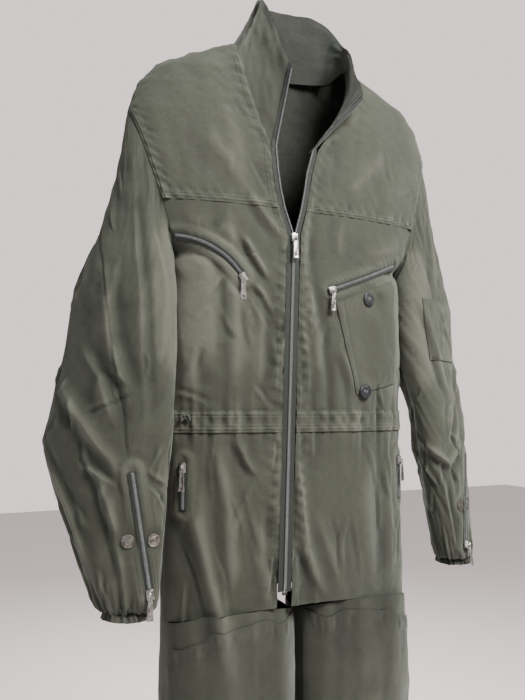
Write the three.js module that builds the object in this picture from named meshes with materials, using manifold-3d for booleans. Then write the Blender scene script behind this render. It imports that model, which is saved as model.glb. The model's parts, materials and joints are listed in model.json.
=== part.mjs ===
// A hanging work coverall: fabric panels as thin shells, zips, snaps and buttons.
// Millimetres, +Z up. The origin is the centre of the neck, where a hanger carries it.
// -Y is the wearer's front, so the wearer's right side lies at -X.
import * as THREE from 'three';
import { mergeVertices } from 'three/addons/utils/BufferGeometryUtils.js';
import Module from 'manifold-3d';

// ---- driving dimensions -------------------------------------------------------
const NECK_Z = 22;            // the yokes end here under the collar
const LEG_TOP_Z = -775;       // the hip panels end near this level
const CLOTH = 2.4;            // thickness of a fabric panel with its seam allowance
const SEAM_GAP = 0.6;         // clearance between two panels along a seam
const SEAT_GAP = 0.5;         // clearance under a piece that lies on a panel
const FRONT_DEPTH = 56;       // front panels stand this far ahead of the shoulder line
const YOKE_Z = -228;          // front yoke seam
const BACK_YOKE_Z = -190;     // back yoke seam
const ARMPIT_Z = -298;        // lowest point of the armhole
const ARMHOLE_TOP = { x: 243, z: -103 };   // dropped shoulder seam on top of the arm
const ARMHOLE_SLOPE = 65 / 195;            // how far the armhole leans in per mm down
const WAIST_TOP_Z = -510;     // top of the gathered waistband
const WAIST_HEIGHT = 30;      // height of the waistband
const WAIST_LIFT = 2.2;       // the gathered band stands out over the panels
const HIP_PIVOT_Z = -655;     // the legs swing about this level
const LEG_CUT_R = 130;        // radius of the leg seam about the hip level
const LEG_CUT_GAP = 1.0;      // running clearance along that seam
const HEM_Z = -1540;          // bottom of the trouser legs
const HEM_HEIGHT = 42;        // height of the hem band
const LEG_CENTRE_X = 94;      // half the distance between the two legs
const KNEE_PATCH_TOP_Z = -800;
const KNEE_PATCH_BOTTOM_Z = -1210;

const ZIP_TOP = { x: -17, z: -262 };       // where the closed part of the main zip ends
const ZIP_END = { x: -33, z: -752 };       // bottom stop of the main zip
const TAPE_WIDTH = 9;         // visible tape each side of the main zip
const TAPE_THICK = 1.5;
const COIL_WIDTH = 4.4;       // width of a closed coil
const COIL_HEIGHT = 1.5;      // height of a coil over its tape
const SMALL_TAPE_WIDTH = 10;  // full width of a pocket zip
const SLIDER = { width: 9, length: 12, wall: 1.4, plate: 1.6, clear: 0.35 };
const EAR = { thick: 1.2, length: 4.4, height: 4.2, gap: 0.35, axis: 2.5 };
const PULL = { width: 9, length: 30, thick: 1.8, tongue: 2.6, hole: 1.5 };
const BUTTON_R = 10.2;
const BUTTON_HEIGHT = 3.2;
const SNAP_R = 8.2;
const SNAP_HEIGHT = 2.6;

// Half widths and depths of the body at each height: z, half width, front, back.
const BODY = [
  [NECK_Z, 99, 32, 44], [-31, 205, 41, 46], [-60, 228, 45, 48],
  [ARMHOLE_TOP.z, ARMHOLE_TOP.x, 50, 50], [-160, 240, 54, 51], [-228, 228, FRONT_DEPTH, 52],
  [-276, 202, FRONT_DEPTH, 52], [-302, 172, FRONT_DEPTH, 52], [-400, 178, FRONT_DEPTH, 52],
  [-510, 183, FRONT_DEPTH, 48], [-620, 187, FRONT_DEPTH, 58], [-790, 187, FRONT_DEPTH, 58],
];
const BODY_POWER = 2.4;       // roundness of the flattened body section

// Half widths and depths of a leg: z, centre, half width, half depth.
const LEG = [
  [-740, LEG_CENTRE_X, 90.5, 55], [-900, LEG_CENTRE_X, 90, 56], [-1200, 92, 84, 50],
  [HEM_Z + HEM_HEIGHT, 91, 77, 44], [HEM_Z, 91, 75, 43],
];
const LEG_POWER = 3;

// Inner edges of the two front halves, from the slider up to the collar: z, x.
const COLLAR_FOOT_Z = -135;   // the zip leaves the front panels here and runs up the collar
const RIGHT_EDGE = [[ZIP_TOP.z, -17.8], [YOKE_Z, -30], [-200, -36], [-171, -40], [COLLAR_FOOT_Z, -42]];
const LEFT_EDGE = [[ZIP_TOP.z, -16.2], [YOKE_Z, -7], [-200, -1], [-171, 4], [COLLAR_FOOT_Z, 15]];
const NECK_EDGE = [[-112, 62, 40], [-70, 76, 70], [-31, 86, 86], [NECK_Z, 93, 93]];   // z, right, left

// Upper edge of the collar from the right front round the back to the left front, and its foot:
// a height on the front neckline, or an x along the top of the back yoke.
const COLLAR = [
  { top: [-27, -74, -28], frontZ: -134 }, { top: [-38, -62, 4], frontZ: -112 },
  { top: [-44, -46, 50], frontZ: -70 }, { top: [-48, -22, 92], frontZ: -31 },
  { top: [-48, -8, 102], frontZ: -6 },
  { top: [-46, 6, 108], frontZ: 19 }, { top: [-30, 34, 118], backX: -88 },
  { top: [0, 46, 124], backX: -50 }, { top: [35, 50, 128], backX: 0 },
  { top: [68, 50, 130], backX: 50 }, { top: [96, 40, 114], backX: 88 },
  { top: [101, 3, 68], frontZ: 19 }, { top: [91, -28, 44], frontZ: -6 },
  { top: [88, -44, 22], frontZ: -31 },
  { top: [92, -50, -6], frontZ: -70 }, { top: [94, -62, -30], frontZ: -112 },
  { top: [90, -72, -52], frontZ: -134 },
];

// Sleeve sections below the armhole: height, centre x, centre y, half widths, turn in degrees.
const SLEEVE = [
  { z: -340, x: 244, y: 2, major: 62, minor: 40, turn: 34 },
  { z: -431, x: 251, y: 0, major: 76, minor: 38, turn: 40 },
  { z: -520, x: 261, y: -8, major: 88, minor: 36, turn: 40 },
  { z: -582, x: 263, y: -10, major: 84, minor: 35, turn: 40 },
  { z: -738, x: 246, y: -42, major: 44, minor: 28, turn: 40 },
  { z: -748, x: 245, y: -44, major: 27, minor: 24, turn: 40 },
  { z: -762, x: 244, y: -46, major: 31, minor: 27, turn: 40 },
];
const ELBOW_RING = 2;         // the forearm starts at this section
const ZIP_TOP_RING = 3;       // the sleeve zip runs between these two sections
const ZIP_END_RING = 4;
const SLEEVE_COLUMNS = 24;

// ---- sides --------------------------------------------------------------------
const SIDES = [
  { name: 'right', sign: -1, rise: 0, sway: 0, zipTop: 55, zipEnd: 22 },
  { name: 'left', sign: 1, rise: 24, sway: 14, zipTop: 90, zipEnd: 50 },
];

// ---- materials ----------------------------------------------------------------
const cloth = (colour) => new THREE.MeshStandardMaterial({ color: colour, roughness: 0.9, metalness: 0 });
const metal = (colour) => new THREE.MeshStandardMaterial({ color: colour, roughness: 0.35, metalness: 0.9 });
const OLIVE = 0x5f6655;
const OLIVE_DARK = 0x525a4a;
const TAPE_COLOUR = 0x2c332c;
const NICKEL = 0xa9a49a;
const BRONZE = 0x807768;
const BLACK = 0x17181a;

const part = new THREE.Group();

function addPiece(name, geometry, material, position) {
  const mesh = new THREE.Mesh(geometry, material);
  mesh.name = name;
  if (position) mesh.position.copy(position);
  part.add(mesh);
  return mesh;
}

// ---- small maths ----------------------------------------------------------------
const vec = (x, y, z) => new THREE.Vector3(x, y, z);
const lerp = THREE.MathUtils.lerp;
const rad = THREE.MathUtils.degToRad;
const FRONT = vec(0, -1, 0);

// Reads column `column` of a table whose first column is a falling or rising height.
function tableAt(table, z, column) {
  const rows = [...table].sort((a, b) => a[0] - b[0]);
  if (z <= rows[0][0]) return rows[0][column];
  for (let i = 1; i < rows.length; i += 1) {
    const [low, high] = [rows[i - 1], rows[i]];
    if (z <= high[0]) return lerp(low[column], high[column], (z - low[0]) / (high[0] - low[0]));
  }
  return rows[rows.length - 1][column];
}

// ---- thin shells ----------------------------------------------------------------
// Joins an outer and an inner grid of points into one closed sheet of cloth.
function sheetGeometry(outer, inner, closed = false) {
  const rows = outer.length;
  const columns = outer[0].length;
  const points = [...outer.flat(), ...inner.flat()];
  const half = rows * columns;
  const at = (side, r, c) => side * half + r * columns + (c % columns);
  const faces = [];
  const quad = (a, b, c, d) => faces.push([a, b, c], [a, c, d]);
  const lastColumn = closed ? columns : columns - 1;
  for (let r = 0; r < rows - 1; r += 1) {
    for (let c = 0; c < lastColumn; c += 1) {
      quad(at(0, r, c), at(0, r + 1, c), at(0, r + 1, c + 1), at(0, r, c + 1));
      quad(at(1, r, c), at(1, r, c + 1), at(1, r + 1, c + 1), at(1, r + 1, c));
    }
  }
  for (let c = 0; c < lastColumn; c += 1) {
    quad(at(0, 0, c), at(0, 0, c + 1), at(1, 0, c + 1), at(1, 0, c));
    const end = rows - 1;
    quad(at(0, end, c + 1), at(0, end, c), at(1, end, c), at(1, end, c + 1));
  }
  if (!closed) {
    const end = columns - 1;
    for (let r = 0; r < rows - 1; r += 1) {
      quad(at(0, r + 1, 0), at(0, r, 0), at(1, r, 0), at(1, r + 1, 0));
      quad(at(0, r, end), at(0, r + 1, end), at(1, r + 1, end), at(1, r, end));
    }
  }
  return facesGeometry(points, faces);
}

// Builds a geometry whose faces point out, whichever way round they were listed.
function facesGeometry(points, faces) {
  let volume = 0;
  for (const [a, b, c] of faces) volume += points[a].dot(points[b].clone().cross(points[c]));
  const geometry = new THREE.BufferGeometry();
  const flat = points.flatMap((p) => [p.x, p.y, p.z]);
  geometry.setAttribute('position', new THREE.Float32BufferAttribute(flat, 3));
  geometry.setIndex(faces.flatMap(([a, b, c]) => (volume > 0 ? [a, b, c] : [a, c, b])));
  return geometry;
}

// ---- body surface ---------------------------------------------------------------
// A point of the body at angle t (0 at the left side, 90 degrees at the back), moved in by `inset`.
function bodyPoint(t, z, inset = 0) {
  const a = tableAt(BODY, z, 1) - inset;
  const b = tableAt(BODY, z, Math.sin(t) < 0 ? 2 : 3) - inset;
  const power = 2 / BODY_POWER;
  const x = a * Math.sign(Math.cos(t)) * Math.abs(Math.cos(t)) ** power;
  const y = b * Math.sign(Math.sin(t)) * Math.abs(Math.sin(t)) ** power;
  return vec(x, y, z);
}

// The angle at which the body surface has the given x, on the front or on the back.
function bodyAngle(x, z, inset, front) {
  const a = tableAt(BODY, z, 1) - inset;
  const ratio = Math.min(Math.abs(x) / a, 1);
  const t = Math.acos(Math.sign(x) * ratio ** (BODY_POWER / 2));
  return front ? 2 * Math.PI - t : t;
}

const frontPoint = (x, z, inset = 0) => bodyPoint(bodyAngle(x, z, inset, true), z, inset);

const armholeX = (z) => ARMHOLE_TOP.x - (ARMHOLE_TOP.z - z) * ARMHOLE_SLOPE;

// Outer limit of a panel in the armhole range, or beyond the body where there is none.
function sideLimit(z) {
  if (z > ARMHOLE_TOP.z || z < ARMPIT_Z) return 1000;
  return armholeX(z) - SEAM_GAP / 2;
}

// Edge of the front opening on one side, seen from the middle of the body.
const zipX = (z) => lerp(ZIP_TOP.x, ZIP_END.x, (z - ZIP_TOP.z) / (ZIP_END.z - ZIP_TOP.z));

function coilEdge(side, z) {
  if (z <= ZIP_TOP.z) return zipX(z) + side.sign * 0.7;
  return tableAt(side.sign < 0 ? RIGHT_EDGE : LEFT_EDGE, z, 1);
}

function frontEdge(side, z) {
  const seam = TAPE_WIDTH + SEAM_GAP;
  if (z <= COLLAR_FOOT_Z) return coilEdge(side, z) + side.sign * seam;
  const foot = [COLLAR_FOOT_Z, side.sign * coilEdge(side, COLLAR_FOOT_Z) + seam];
  const edge = NECK_EDGE.map((row) => [row[0], side.sign < 0 ? row[1] : row[2]]);
  return side.sign * tableAt([foot, ...edge], z, 1);
}

// A body panel through a list of heights, between two edge functions that give angles.
function bodyPanel({ levels, from, to, columns, lift = 0, shape = (z) => z }) {
  const grid = (inset) => {
    const span = levels[levels.length - 1] - levels[0];
    return levels.map((level) => {
      const line = [];
      for (let c = 0; c <= columns; c += 1) {
        const t = lerp(from(level, inset), to(level, inset), c / columns);
        const z = shape(level, bodyPoint(t, level, inset).y, (level - levels[0]) / span);
        const exact = lerp(from(z, inset), to(z, inset), c / columns);
        line.push(bodyPoint(exact, z, inset));
      }
      return line;
    });
  };
  return sheetGeometry(grid(-lift), grid(CLOTH - lift));
}

const RIDGE = 0.004;          // angle kept clear at the side seams and shoulder ridge

const sideAngle = (side) => (side.sign > 0 ? 2 * Math.PI - RIDGE : Math.PI + RIDGE);

function frontOuterAngle(side, z, inset) {
  const limit = sideLimit(z);
  const a = tableAt(BODY, z, 1) - inset;
  if (limit >= a) return sideAngle(side);
  return bodyAngle(side.sign * limit, z, inset, true);
}

function backOuterAngle(sign, z, inset) {
  const limit = sideLimit(z);
  const a = tableAt(BODY, z, 1) - inset;
  if (limit >= a) return sign > 0 ? RIDGE : Math.PI - RIDGE;
  return bodyAngle(sign * limit, z, inset, false);
}

// The curved lower seam of the hips: it is round about the hip level, so the legs can swing.
function hipSeam(level, y, share) {
  const radius = LEG_CUT_R - LEG_CUT_GAP / 2;
  const low = HIP_PIVOT_Z - Math.sqrt(radius ** 2 - y ** 2);
  return lerp(WAIST_TOP_Z - WAIST_HEIGHT - SEAM_GAP, low, share);
}

const NECK_LEVELS = [NECK_Z, -5, -31, -60, -82, ARMHOLE_TOP.z];
const WAIST_BOTTOM_Z = WAIST_TOP_Z - WAIST_HEIGHT;
const HIP_LEVELS = [WAIST_BOTTOM_Z - SEAM_GAP, -620, -700, LEG_TOP_Z];

function buildBody() {
  for (const side of SIDES) {
    const shared = {
      from: (z, inset) => bodyAngle(frontEdge(side, z), z, inset, true),
      to: (z, inset) => frontOuterAngle(side, z, inset),
    };
    const yoke = [...NECK_LEVELS, -112, COLLAR_FOOT_Z, -171, -200, YOKE_Z + SEAM_GAP / 2];
    const chest = [YOKE_Z - SEAM_GAP / 2, ZIP_TOP.z, ARMPIT_Z, ARMPIT_Z - 4, -400, WAIST_TOP_Z + SEAM_GAP / 2];
    addPiece(`yoke_${side.name}`, bodyPanel({ ...shared, levels: yoke, columns: 7 }), cloth(OLIVE));
    addPiece(`chest_panel_${side.name}`, bodyPanel({ ...shared, levels: chest, columns: 11 }), cloth(OLIVE));
    addPiece(`hip_panel_${side.name}`, bodyPanel({
      ...shared, levels: HIP_LEVELS, columns: 10, shape: hipSeam,
    }), cloth(OLIVE));
  }
  const back = {
    from: (z, inset) => backOuterAngle(1, z, inset),
    to: (z, inset) => backOuterAngle(-1, z, inset),
  };
  const backYoke = [...NECK_LEVELS, -150, BACK_YOKE_Z + SEAM_GAP / 2];
  const backPanel = [BACK_YOKE_Z - SEAM_GAP / 2, YOKE_Z, -262, ARMPIT_Z, ARMPIT_Z - 4, -400,
    WAIST_TOP_Z + SEAM_GAP / 2];
  addPiece('back_yoke', bodyPanel({ ...back, levels: backYoke, columns: 14 }), cloth(OLIVE));
  addPiece('back_panel', bodyPanel({ ...back, levels: backPanel, columns: 14 }), cloth(OLIVE));
  addPiece('seat_panel', bodyPanel({
    ...back, levels: HIP_LEVELS, columns: 16, shape: hipSeam,
  }), cloth(OLIVE));
  const [right, left] = SIDES;
  addPiece('waistband', bodyPanel({
    from: (z, inset) => bodyAngle(frontEdge(left, z), z, inset, true) - 2 * Math.PI,
    to: (z, inset) => bodyAngle(frontEdge(right, z), z, inset, true),
    levels: [WAIST_TOP_Z - SEAM_GAP / 2, WAIST_BOTTOM_Z], columns: 36, lift: WAIST_LIFT,
  }), cloth(OLIVE));
}

// ---- collar -----------------------------------------------------------------------
const toVec = (p) => vec(p[0], p[1], p[2]);

const COLLAR_CLEARANCE = 2.2; // the collar stands this far inside the neckline

function collarFoot(index) {
  const { frontZ, backX } = COLLAR[index];
  if (backX !== undefined) {
    const back = bodyPoint(bodyAngle(backX, NECK_Z, 0, false), NECK_Z, COLLAR_CLEARANCE);
    return back.setZ(NECK_Z + 1.5 * SEAM_GAP);
  }
  const side = SIDES[index < COLLAR.length / 2 ? 0 : 1];
  if (frontZ > COLLAR_FOOT_Z && frontZ < -120) {
    const x = coilEdge(side, COLLAR_FOOT_Z);
    return vec(x, frontPoint(x, COLLAR_FOOT_Z).y, frontZ);
  }
  return frontPoint(frontEdge(side, frontZ) - side.sign * COLLAR_CLEARANCE, frontZ);
}

function collarPoint(column, share) {
  const low = Math.min(Math.floor(column), COLLAR.length - 2);
  const at = (i) => collarFoot(i).lerp(toVec(COLLAR[i].top), share);
  return at(low).lerp(at(low + 1), column - low);
}

// Column position a given distance in from a front edge of the collar.
function collarInset(fromLeft, share, distance) {
  const end = fromLeft ? COLLAR.length - 1 : 0;
  const next = fromLeft ? end - 1 : 1;
  const length = collarPoint(end, share).distanceTo(collarPoint(next, share));
  return end + (next - end) * (distance / length);
}

function collarNormal(column, share) {
  const step = 0.3;
  const last = COLLAR.length - 1;
  const along = collarPoint(Math.min(column + step, last), share)
    .sub(collarPoint(Math.max(column - step, 0), share));
  const up = collarPoint(column, 1).sub(collarPoint(column, 0));
  return along.cross(up).normalize();
}

const COLLAR_SEAM = 2.6;      // clearance between the collar and the zip tape on its edge

function buildCollar() {
  const rows = 4;
  const outer = [];
  const inner = [];
  for (let r = rows; r >= 0; r -= 1) {
    const share = r / rows;
    const start = collarInset(false, share, TAPE_WIDTH + COLLAR_SEAM);
    const end = collarInset(true, share, TAPE_WIDTH + COLLAR_SEAM);
    const columns = [start];
    for (let c = 1; c < COLLAR.length - 1; c += 1) columns.push(c);
    columns.push(end);
    outer.push(columns.map((c) => collarPoint(c, share)));
    inner.push(columns.map((c) => collarPoint(c, share).addScaledVector(collarNormal(c, share), -CLOTH)));
  }
  addPiece('collar', sheetGeometry(outer, inner), cloth(OLIVE_DARK));
}

// ---- main zip -----------------------------------------------------------------------
function buildMainTape(side) {
  const outer = [];
  const inner = [];
  const addRow = (points, normals) => {
    outer.push(points);
    inner.push(points.map((point, i) => point.clone().addScaledVector(normals[i], -TAPE_THICK)));
  };
  const collarEnd = side.sign > 0 ? COLLAR.length - 1 : 0;
  for (let share = 1; share >= 0; share -= 0.25) {
    const columns = [collarEnd, collarInset(side.sign > 0, share, TAPE_WIDTH)];
    const normals = columns.map((column) => collarNormal(column, share).negate());
    const points = columns.map((column) => collarPoint(column, share));
    addRow(points.map((point, i) => point.addScaledVector(normals[i], TAPE_THICK)), normals);
  }
  const levels = [COLLAR_FOOT_Z - 7, -171, -200, YOKE_Z, ZIP_TOP.z, -400, -580, ZIP_END.z];
  for (const z of levels) {
    const x = coilEdge(side, z);
    const back = frontPoint(x + side.sign * TAPE_WIDTH, z);
    addRow([vec(x, back.y, z), back], [FRONT, FRONT]);
  }
  addPiece(`main_zip_${side.name}`, sheetGeometry(outer, inner), cloth(TAPE_COLOUR));
}

// ---- solids joined with manifold ----------------------------------------------------
const wasm = await Module();
wasm.setup();

function toManifold(geometry) {
  const bare = geometry.clone();
  bare.deleteAttribute('normal');
  bare.deleteAttribute('uv');
  const merged = mergeVertices(bare, 1e-4);
  return new wasm.Manifold(new wasm.Mesh({
    numProp: 3,
    vertProperties: new Float32Array(merged.attributes.position.array),
    triVerts: new Uint32Array(merged.index.array),
  }));
}

function fromManifold(solid) {
  const mesh = solid.getMesh();
  const geometry = new THREE.BufferGeometry();
  geometry.setAttribute('position', new THREE.BufferAttribute(new Float32Array(mesh.vertProperties), 3));
  geometry.setIndex(new THREE.BufferAttribute(new Uint32Array(mesh.triVerts), 1));
  return geometry;
}

function boxAt(sizeX, sizeY, sizeZ, x, y, z) {
  return new THREE.BoxGeometry(sizeX, sizeY, sizeZ).translate(x, y, z);
}

const unite = (geometries) => fromManifold(geometries.map(toManifold).reduce((a, b) => a.add(b)));

// ---- slider, pull, button and snap ---------------------------------------------------
// A frame on a zip: x across, y along the zip towards its closed end, z out of the cloth.
function frameMatrix(along, normal, origin) {
  const z = normal.clone().normalize();
  const y = along.clone().addScaledVector(z, -along.dot(z)).normalize();
  const x = y.clone().cross(z);
  return new THREE.Matrix4().makeBasis(x, y, z).setPosition(origin);
}

const SLIDER_TOP = COIL_HEIGHT + SLIDER.clear + SLIDER.plate;   // over the tape

// The slider straddles the coil; its ears carry the pull and turn about the zip by `turn`.
function sliderGeometry(turn) {
  const plateZ = COIL_HEIGHT + SLIDER.clear + SLIDER.plate / 2;
  const wallZ = (SLIDER.clear + plateZ) / 2;
  const wallX = (SLIDER.width - SLIDER.wall) / 2;
  const parts = [boxAt(SLIDER.width, SLIDER.length, SLIDER.plate, 0, 0, plateZ)];
  for (const sign of [-1, 1]) {
    parts.push(boxAt(SLIDER.wall, SLIDER.length - 2, plateZ - SLIDER.clear, sign * wallX, 0, wallZ));
    const earX = sign * (PULL.tongue / 2 + EAR.gap + EAR.thick / 2);
    const ear = boxAt(EAR.thick, EAR.length, EAR.height + 0.8, earX, 0, SLIDER_TOP + EAR.height / 2 - 0.4);
    parts.push(ear.rotateZ(turn));
  }
  return unite(parts);
}

// A flat tab with chamfered ends and a narrow tongue, hanging along -y from its pivot.
function pullGeometry() {
  const half = PULL.width / 2;
  const tongue = PULL.tongue / 2;
  const neck = 5.5;
  const chamfer = 2.4;
  const shape = new THREE.Shape();
  shape.moveTo(-tongue, 1.4);
  shape.lineTo(-tongue, -neck);
  shape.lineTo(-half, -neck - chamfer);
  shape.lineTo(-half, -PULL.length + chamfer);
  shape.lineTo(-tongue, -PULL.length);
  shape.lineTo(tongue, -PULL.length);
  shape.lineTo(half, -PULL.length + chamfer);
  shape.lineTo(half, -neck - chamfer);
  shape.lineTo(tongue, -neck);
  shape.lineTo(tongue, 1.4);
  shape.closePath();
  const hole = new THREE.Path();
  hole.absarc(0, -PULL.length + 4.2, PULL.hole, 0, Math.PI * 2, true);
  shape.holes.push(hole);
  const options = { depth: PULL.thick, bevelEnabled: false, curveSegments: 8 };
  const geometry = new THREE.ExtrudeGeometry(shape, options);
  return geometry.translate(0, 0, -PULL.thick / 2);
}

// Places a slider and its pull at a point on a zip. `down` is where the pull hangs.
function addSliderAndPull(name, origin, along, normal, down) {
  const matrix = frameMatrix(along, normal, origin);
  const local = down.clone().transformDirection(matrix.clone().invert());
  const turn = Math.atan2(local.x, -local.y);
  addPiece(`${name}_slider`, sliderGeometry(turn).applyMatrix4(matrix), metal(NICKEL));
  const hang = new THREE.Matrix4().makeRotationZ(turn);
  hang.setPosition(0, 0, SLIDER_TOP + EAR.axis);
  addPiece(`${name}_pull`, pullGeometry().applyMatrix4(matrix.multiply(hang)), metal(NICKEL));
}

function turnedDisc(radius, height, profile, segments) {
  const points = profile.map(([r, h]) => new THREE.Vector2(r * radius, h * height));
  return new THREE.LatheGeometry(points, segments).rotateX(Math.PI / 2);
}

const BUTTON_PROFILE = [[0, 0], [0.9, 0], [1, 0.3], [1, 0.75], [0.92, 1], [0.78, 1], [0.7, 0.72], [0, 0.72]];
const SNAP_PROFILE = [[0, 0], [0.95, 0], [1, 0.3], [0.9, 0.7], [0.7, 0.92], [0.45, 1], [0, 1]];

function addDisc(name, geometry, material, origin, normal) {
  const matrix = frameMatrix(vec(0, 0, 1), normal, origin.clone().addScaledVector(normal, SEAT_GAP));
  addPiece(name, geometry.applyMatrix4(matrix), material);
}

// ---- pocket zips ----------------------------------------------------------------------
// A tape with a raised coil along a row of points; `across` points to its upper side.
function zipStrip(points, normals) {
  const outer = [];
  const inner = [];
  const half = SMALL_TAPE_WIDTH / 2;
  const coil = COIL_WIDTH / 2;
  points.forEach((point, i) => {
    const before = points[Math.max(i - 1, 0)];
    const after = points[Math.min(i + 1, points.length - 1)];
    const along = after.clone().sub(before).normalize();
    const normal = normals[i];
    const across = normal.clone().cross(along).normalize();
    const place = (side, height) => point.clone().addScaledVector(across, side).addScaledVector(normal, height);
    const low = -TAPE_THICK;
    outer.push([place(-half, 0), place(-coil, 0), place(-coil + 0.6, COIL_HEIGHT),
      place(coil - 0.6, COIL_HEIGHT), place(coil, 0), place(half, 0)]);
    inner.push([place(-half, low), place(-coil, low), place(-coil + 0.6, low),
      place(coil - 0.6, low), place(coil, low), place(half, low)]);
  });
  return sheetGeometry(outer, inner);
}

// The circle through three points: its centre, and its axis.
function circleThrough(a, b, c) {
  const ab = b.clone().sub(a);
  const ac = c.clone().sub(a);
  const axis = ab.clone().cross(ac);
  const toCentre = axis.clone().cross(ab).multiplyScalar(ac.lengthSq())
    .add(ac.clone().cross(axis).multiplyScalar(ab.lengthSq()))
    .divideScalar(2 * axis.lengthSq());
  return { centre: a.clone().add(toCentre), axis: axis.normalize() };
}

const ZIP_SEAT = TAPE_THICK + SEAT_GAP;
const PULL_DOWN = vec(0, 0, -1);

function bodyNormal(x, z) {
  const step = 4;
  const across = frontPoint(x + step, z).sub(frontPoint(x - step, z));
  const up = frontPoint(x, z + step).sub(frontPoint(x, z - step));
  return across.cross(up).normalize();
}

// Chest zips follow an arc over the chest from the side seam in to the slider: x, z.
// An arc leaves the chest surface by up to its clearance.
const CHEST_ZIPS = [
  { name: 'right', path: [[-184, -277], [-143, -287], [-93, -330]], clearance: 1.3 },
  { name: 'left', path: [[164, -290], [112, -312], [42, -339]], clearance: 0.4 },
];

function buildChestZip({ name, path, clearance }) {
  const seats = path.map(([x, z]) => frontPoint(x, z, -ZIP_SEAT - clearance));
  const { centre, axis } = circleThrough(...seats);
  const spoke = seats[0].clone().sub(centre);
  const total = spoke.angleTo(seats[2].clone().sub(centre));
  const normals = [];
  const points = [];
  const steps = 14;
  // The section turns rigidly about the arc's axis, so that the slider fits all the way.
  const middle = seats[1];
  const facing = bodyNormal(middle.x, middle.z);
  const along0 = axis.clone().cross(middle.clone().sub(centre)).normalize();
  facing.addScaledVector(along0, -facing.dot(along0)).normalize();
  const middleAngle = spoke.angleTo(middle.clone().sub(centre));
  for (let i = 0; i <= steps; i += 1) {
    const angle = (total * i) / steps;
    points.push(spoke.clone().applyAxisAngle(axis, angle).add(centre));
    normals.push(facing.clone().applyAxisAngle(axis, angle - middleAngle));
  }
  addPiece(`chest_zip_${name}`, zipStrip(points, normals), cloth(TAPE_COLOUR));
  const end = points[steps];
  const along = end.clone().sub(points[steps - 1]);
  addSliderAndPull(`chest_zip_${name}`, end, along, normals[steps], PULL_DOWN);
}

// Side zips lie at the hips beside the side seams: x, top and bottom.
const SIDE_ZIP = { x: 168, top: -578, bottom: -640 };

function straightZip(name, top, bottom, normal, sliderShare, along) {
  const steps = 6;
  const points = [];
  for (let i = 0; i <= steps; i += 1) points.push(top.clone().lerp(bottom, i / steps));
  addPiece(name, zipStrip(points, points.map(() => normal)), cloth(TAPE_COLOUR));
  const origin = top.clone().lerp(bottom, sliderShare);
  addSliderAndPull(name, origin, along, normal, PULL_DOWN);
}

// ---- sleeves ----------------------------------------------------------------------------
// Section `index` of a sleeve at angle u: 0 at the front, 90 degrees outwards.
function sleeveCentre(side, index) {
  const ring = SLEEVE[index];
  const elbow = SLEEVE[ELBOW_RING].z;
  const length = elbow - SLEEVE[SLEEVE.length - 1].z;
  const below = Math.max((elbow - ring.z) / length, 0);
  return vec(side.sign * (ring.x + side.sway * below), ring.y, ring.z + side.rise * below);
}

function sleevePoint(side, index, u, inset = 0) {
  const ring = SLEEVE[index];
  const turn = rad(ring.turn);
  const front = vec(-side.sign * Math.cos(turn), -Math.sin(turn), 0);
  const out = vec(side.sign * Math.sin(turn), -Math.cos(turn), 0);
  return sleeveCentre(side, index)
    .addScaledVector(front, (ring.major - inset) * Math.cos(u))
    .addScaledVector(out, (ring.minor - inset) * Math.sin(u));
}

// The sleeve head lies in the leaning plane of the armhole and follows the panels' edges.
function sleeveHead(side, u, inset) {
  const half = (ARMHOLE_TOP.z - ARMPIT_Z) / 2 - inset;
  const middle = (ARMHOLE_TOP.z + ARMPIT_Z) / 2;
  const z = middle + half * Math.sin(u);
  const x = armholeX(z) + SEAM_GAP / 2;
  const front = Math.cos(u) > 0;
  const a = Math.max(tableAt(BODY, z, 1), x);
  const depth = tableAt(BODY, z, front ? 2 : 3) * (1 - (x / a) ** BODY_POWER) ** (1 / BODY_POWER);
  const reach = Math.max(depth, 6) - inset;
  const y = Math.abs(Math.cos(u)) < 0.01 ? 0 : -Math.sign(Math.cos(u)) * reach;
  return vec(side.sign * x, y, z);
}

function ringAngles(start, count = SLEEVE_COLUMNS) {
  return Array.from({ length: count }, (_, k) => start + (2 * Math.PI * k) / count);
}

// Start angle of the columns at each section, so that the zip is a straight column.
function columnStart(side, index) {
  if (index <= ELBOW_RING) return 0;
  if (index === ZIP_TOP_RING) return rad(side.zipTop);
  return rad(side.zipEnd);
}

function sleeveRing(side, index, inset, start = columnStart(side, index)) {
  return ringAngles(start).map((u) => sleevePoint(side, index, u, inset));
}

function raised(ring, height) {
  return ring.map((p) => p.clone().setZ(p.z + height));
}

function between(ringA, ringB, share) {
  return ringA.map((p, i) => p.clone().lerp(ringB[i], share));
}

function buildSleeve(side) {
  const tube = (name, rings, colour) => addPiece(
    name, sheetGeometry(rings(0), rings(CLOTH), true), cloth(colour),
  );
  const seam = SEAM_GAP;
  tube(`sleeve_${side.name}`, (inset) => {
    const head = ringAngles(0).map((u) => sleeveHead(side, u, inset));
    const first = sleeveRing(side, 0, inset);
    const end = raised(sleeveRing(side, ELBOW_RING, inset), seam);
    const shoulder = [head, between(head, first, 0.3), between(head, first, 0.65), first];
    return [...shoulder, sleeveRing(side, 1, inset), end];
  }, OLIVE);
  tube(`forearm_${side.name}`, (inset) => [
    sleeveRing(side, ELBOW_RING, inset, columnStart(side, ZIP_TOP_RING)),
    sleeveRing(side, ZIP_TOP_RING, inset),
    raised(sleeveRing(side, ZIP_END_RING, inset), seam),
  ], OLIVE);
  tube(`cuff_${side.name}`, (inset) => [ZIP_END_RING, ZIP_END_RING + 1, ZIP_END_RING + 2]
    .map((index) => sleeveRing(side, index, inset)), OLIVE_DARK);
}

// A point of the forearm, at an angle measured from the zip.
function forearmPoint(side, share, angle) {
  const top = sleevePoint(side, ZIP_TOP_RING, columnStart(side, ZIP_TOP_RING) + angle);
  const end = sleevePoint(side, ZIP_END_RING, columnStart(side, ZIP_END_RING) + angle);
  return top.lerp(end, share);
}

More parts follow.
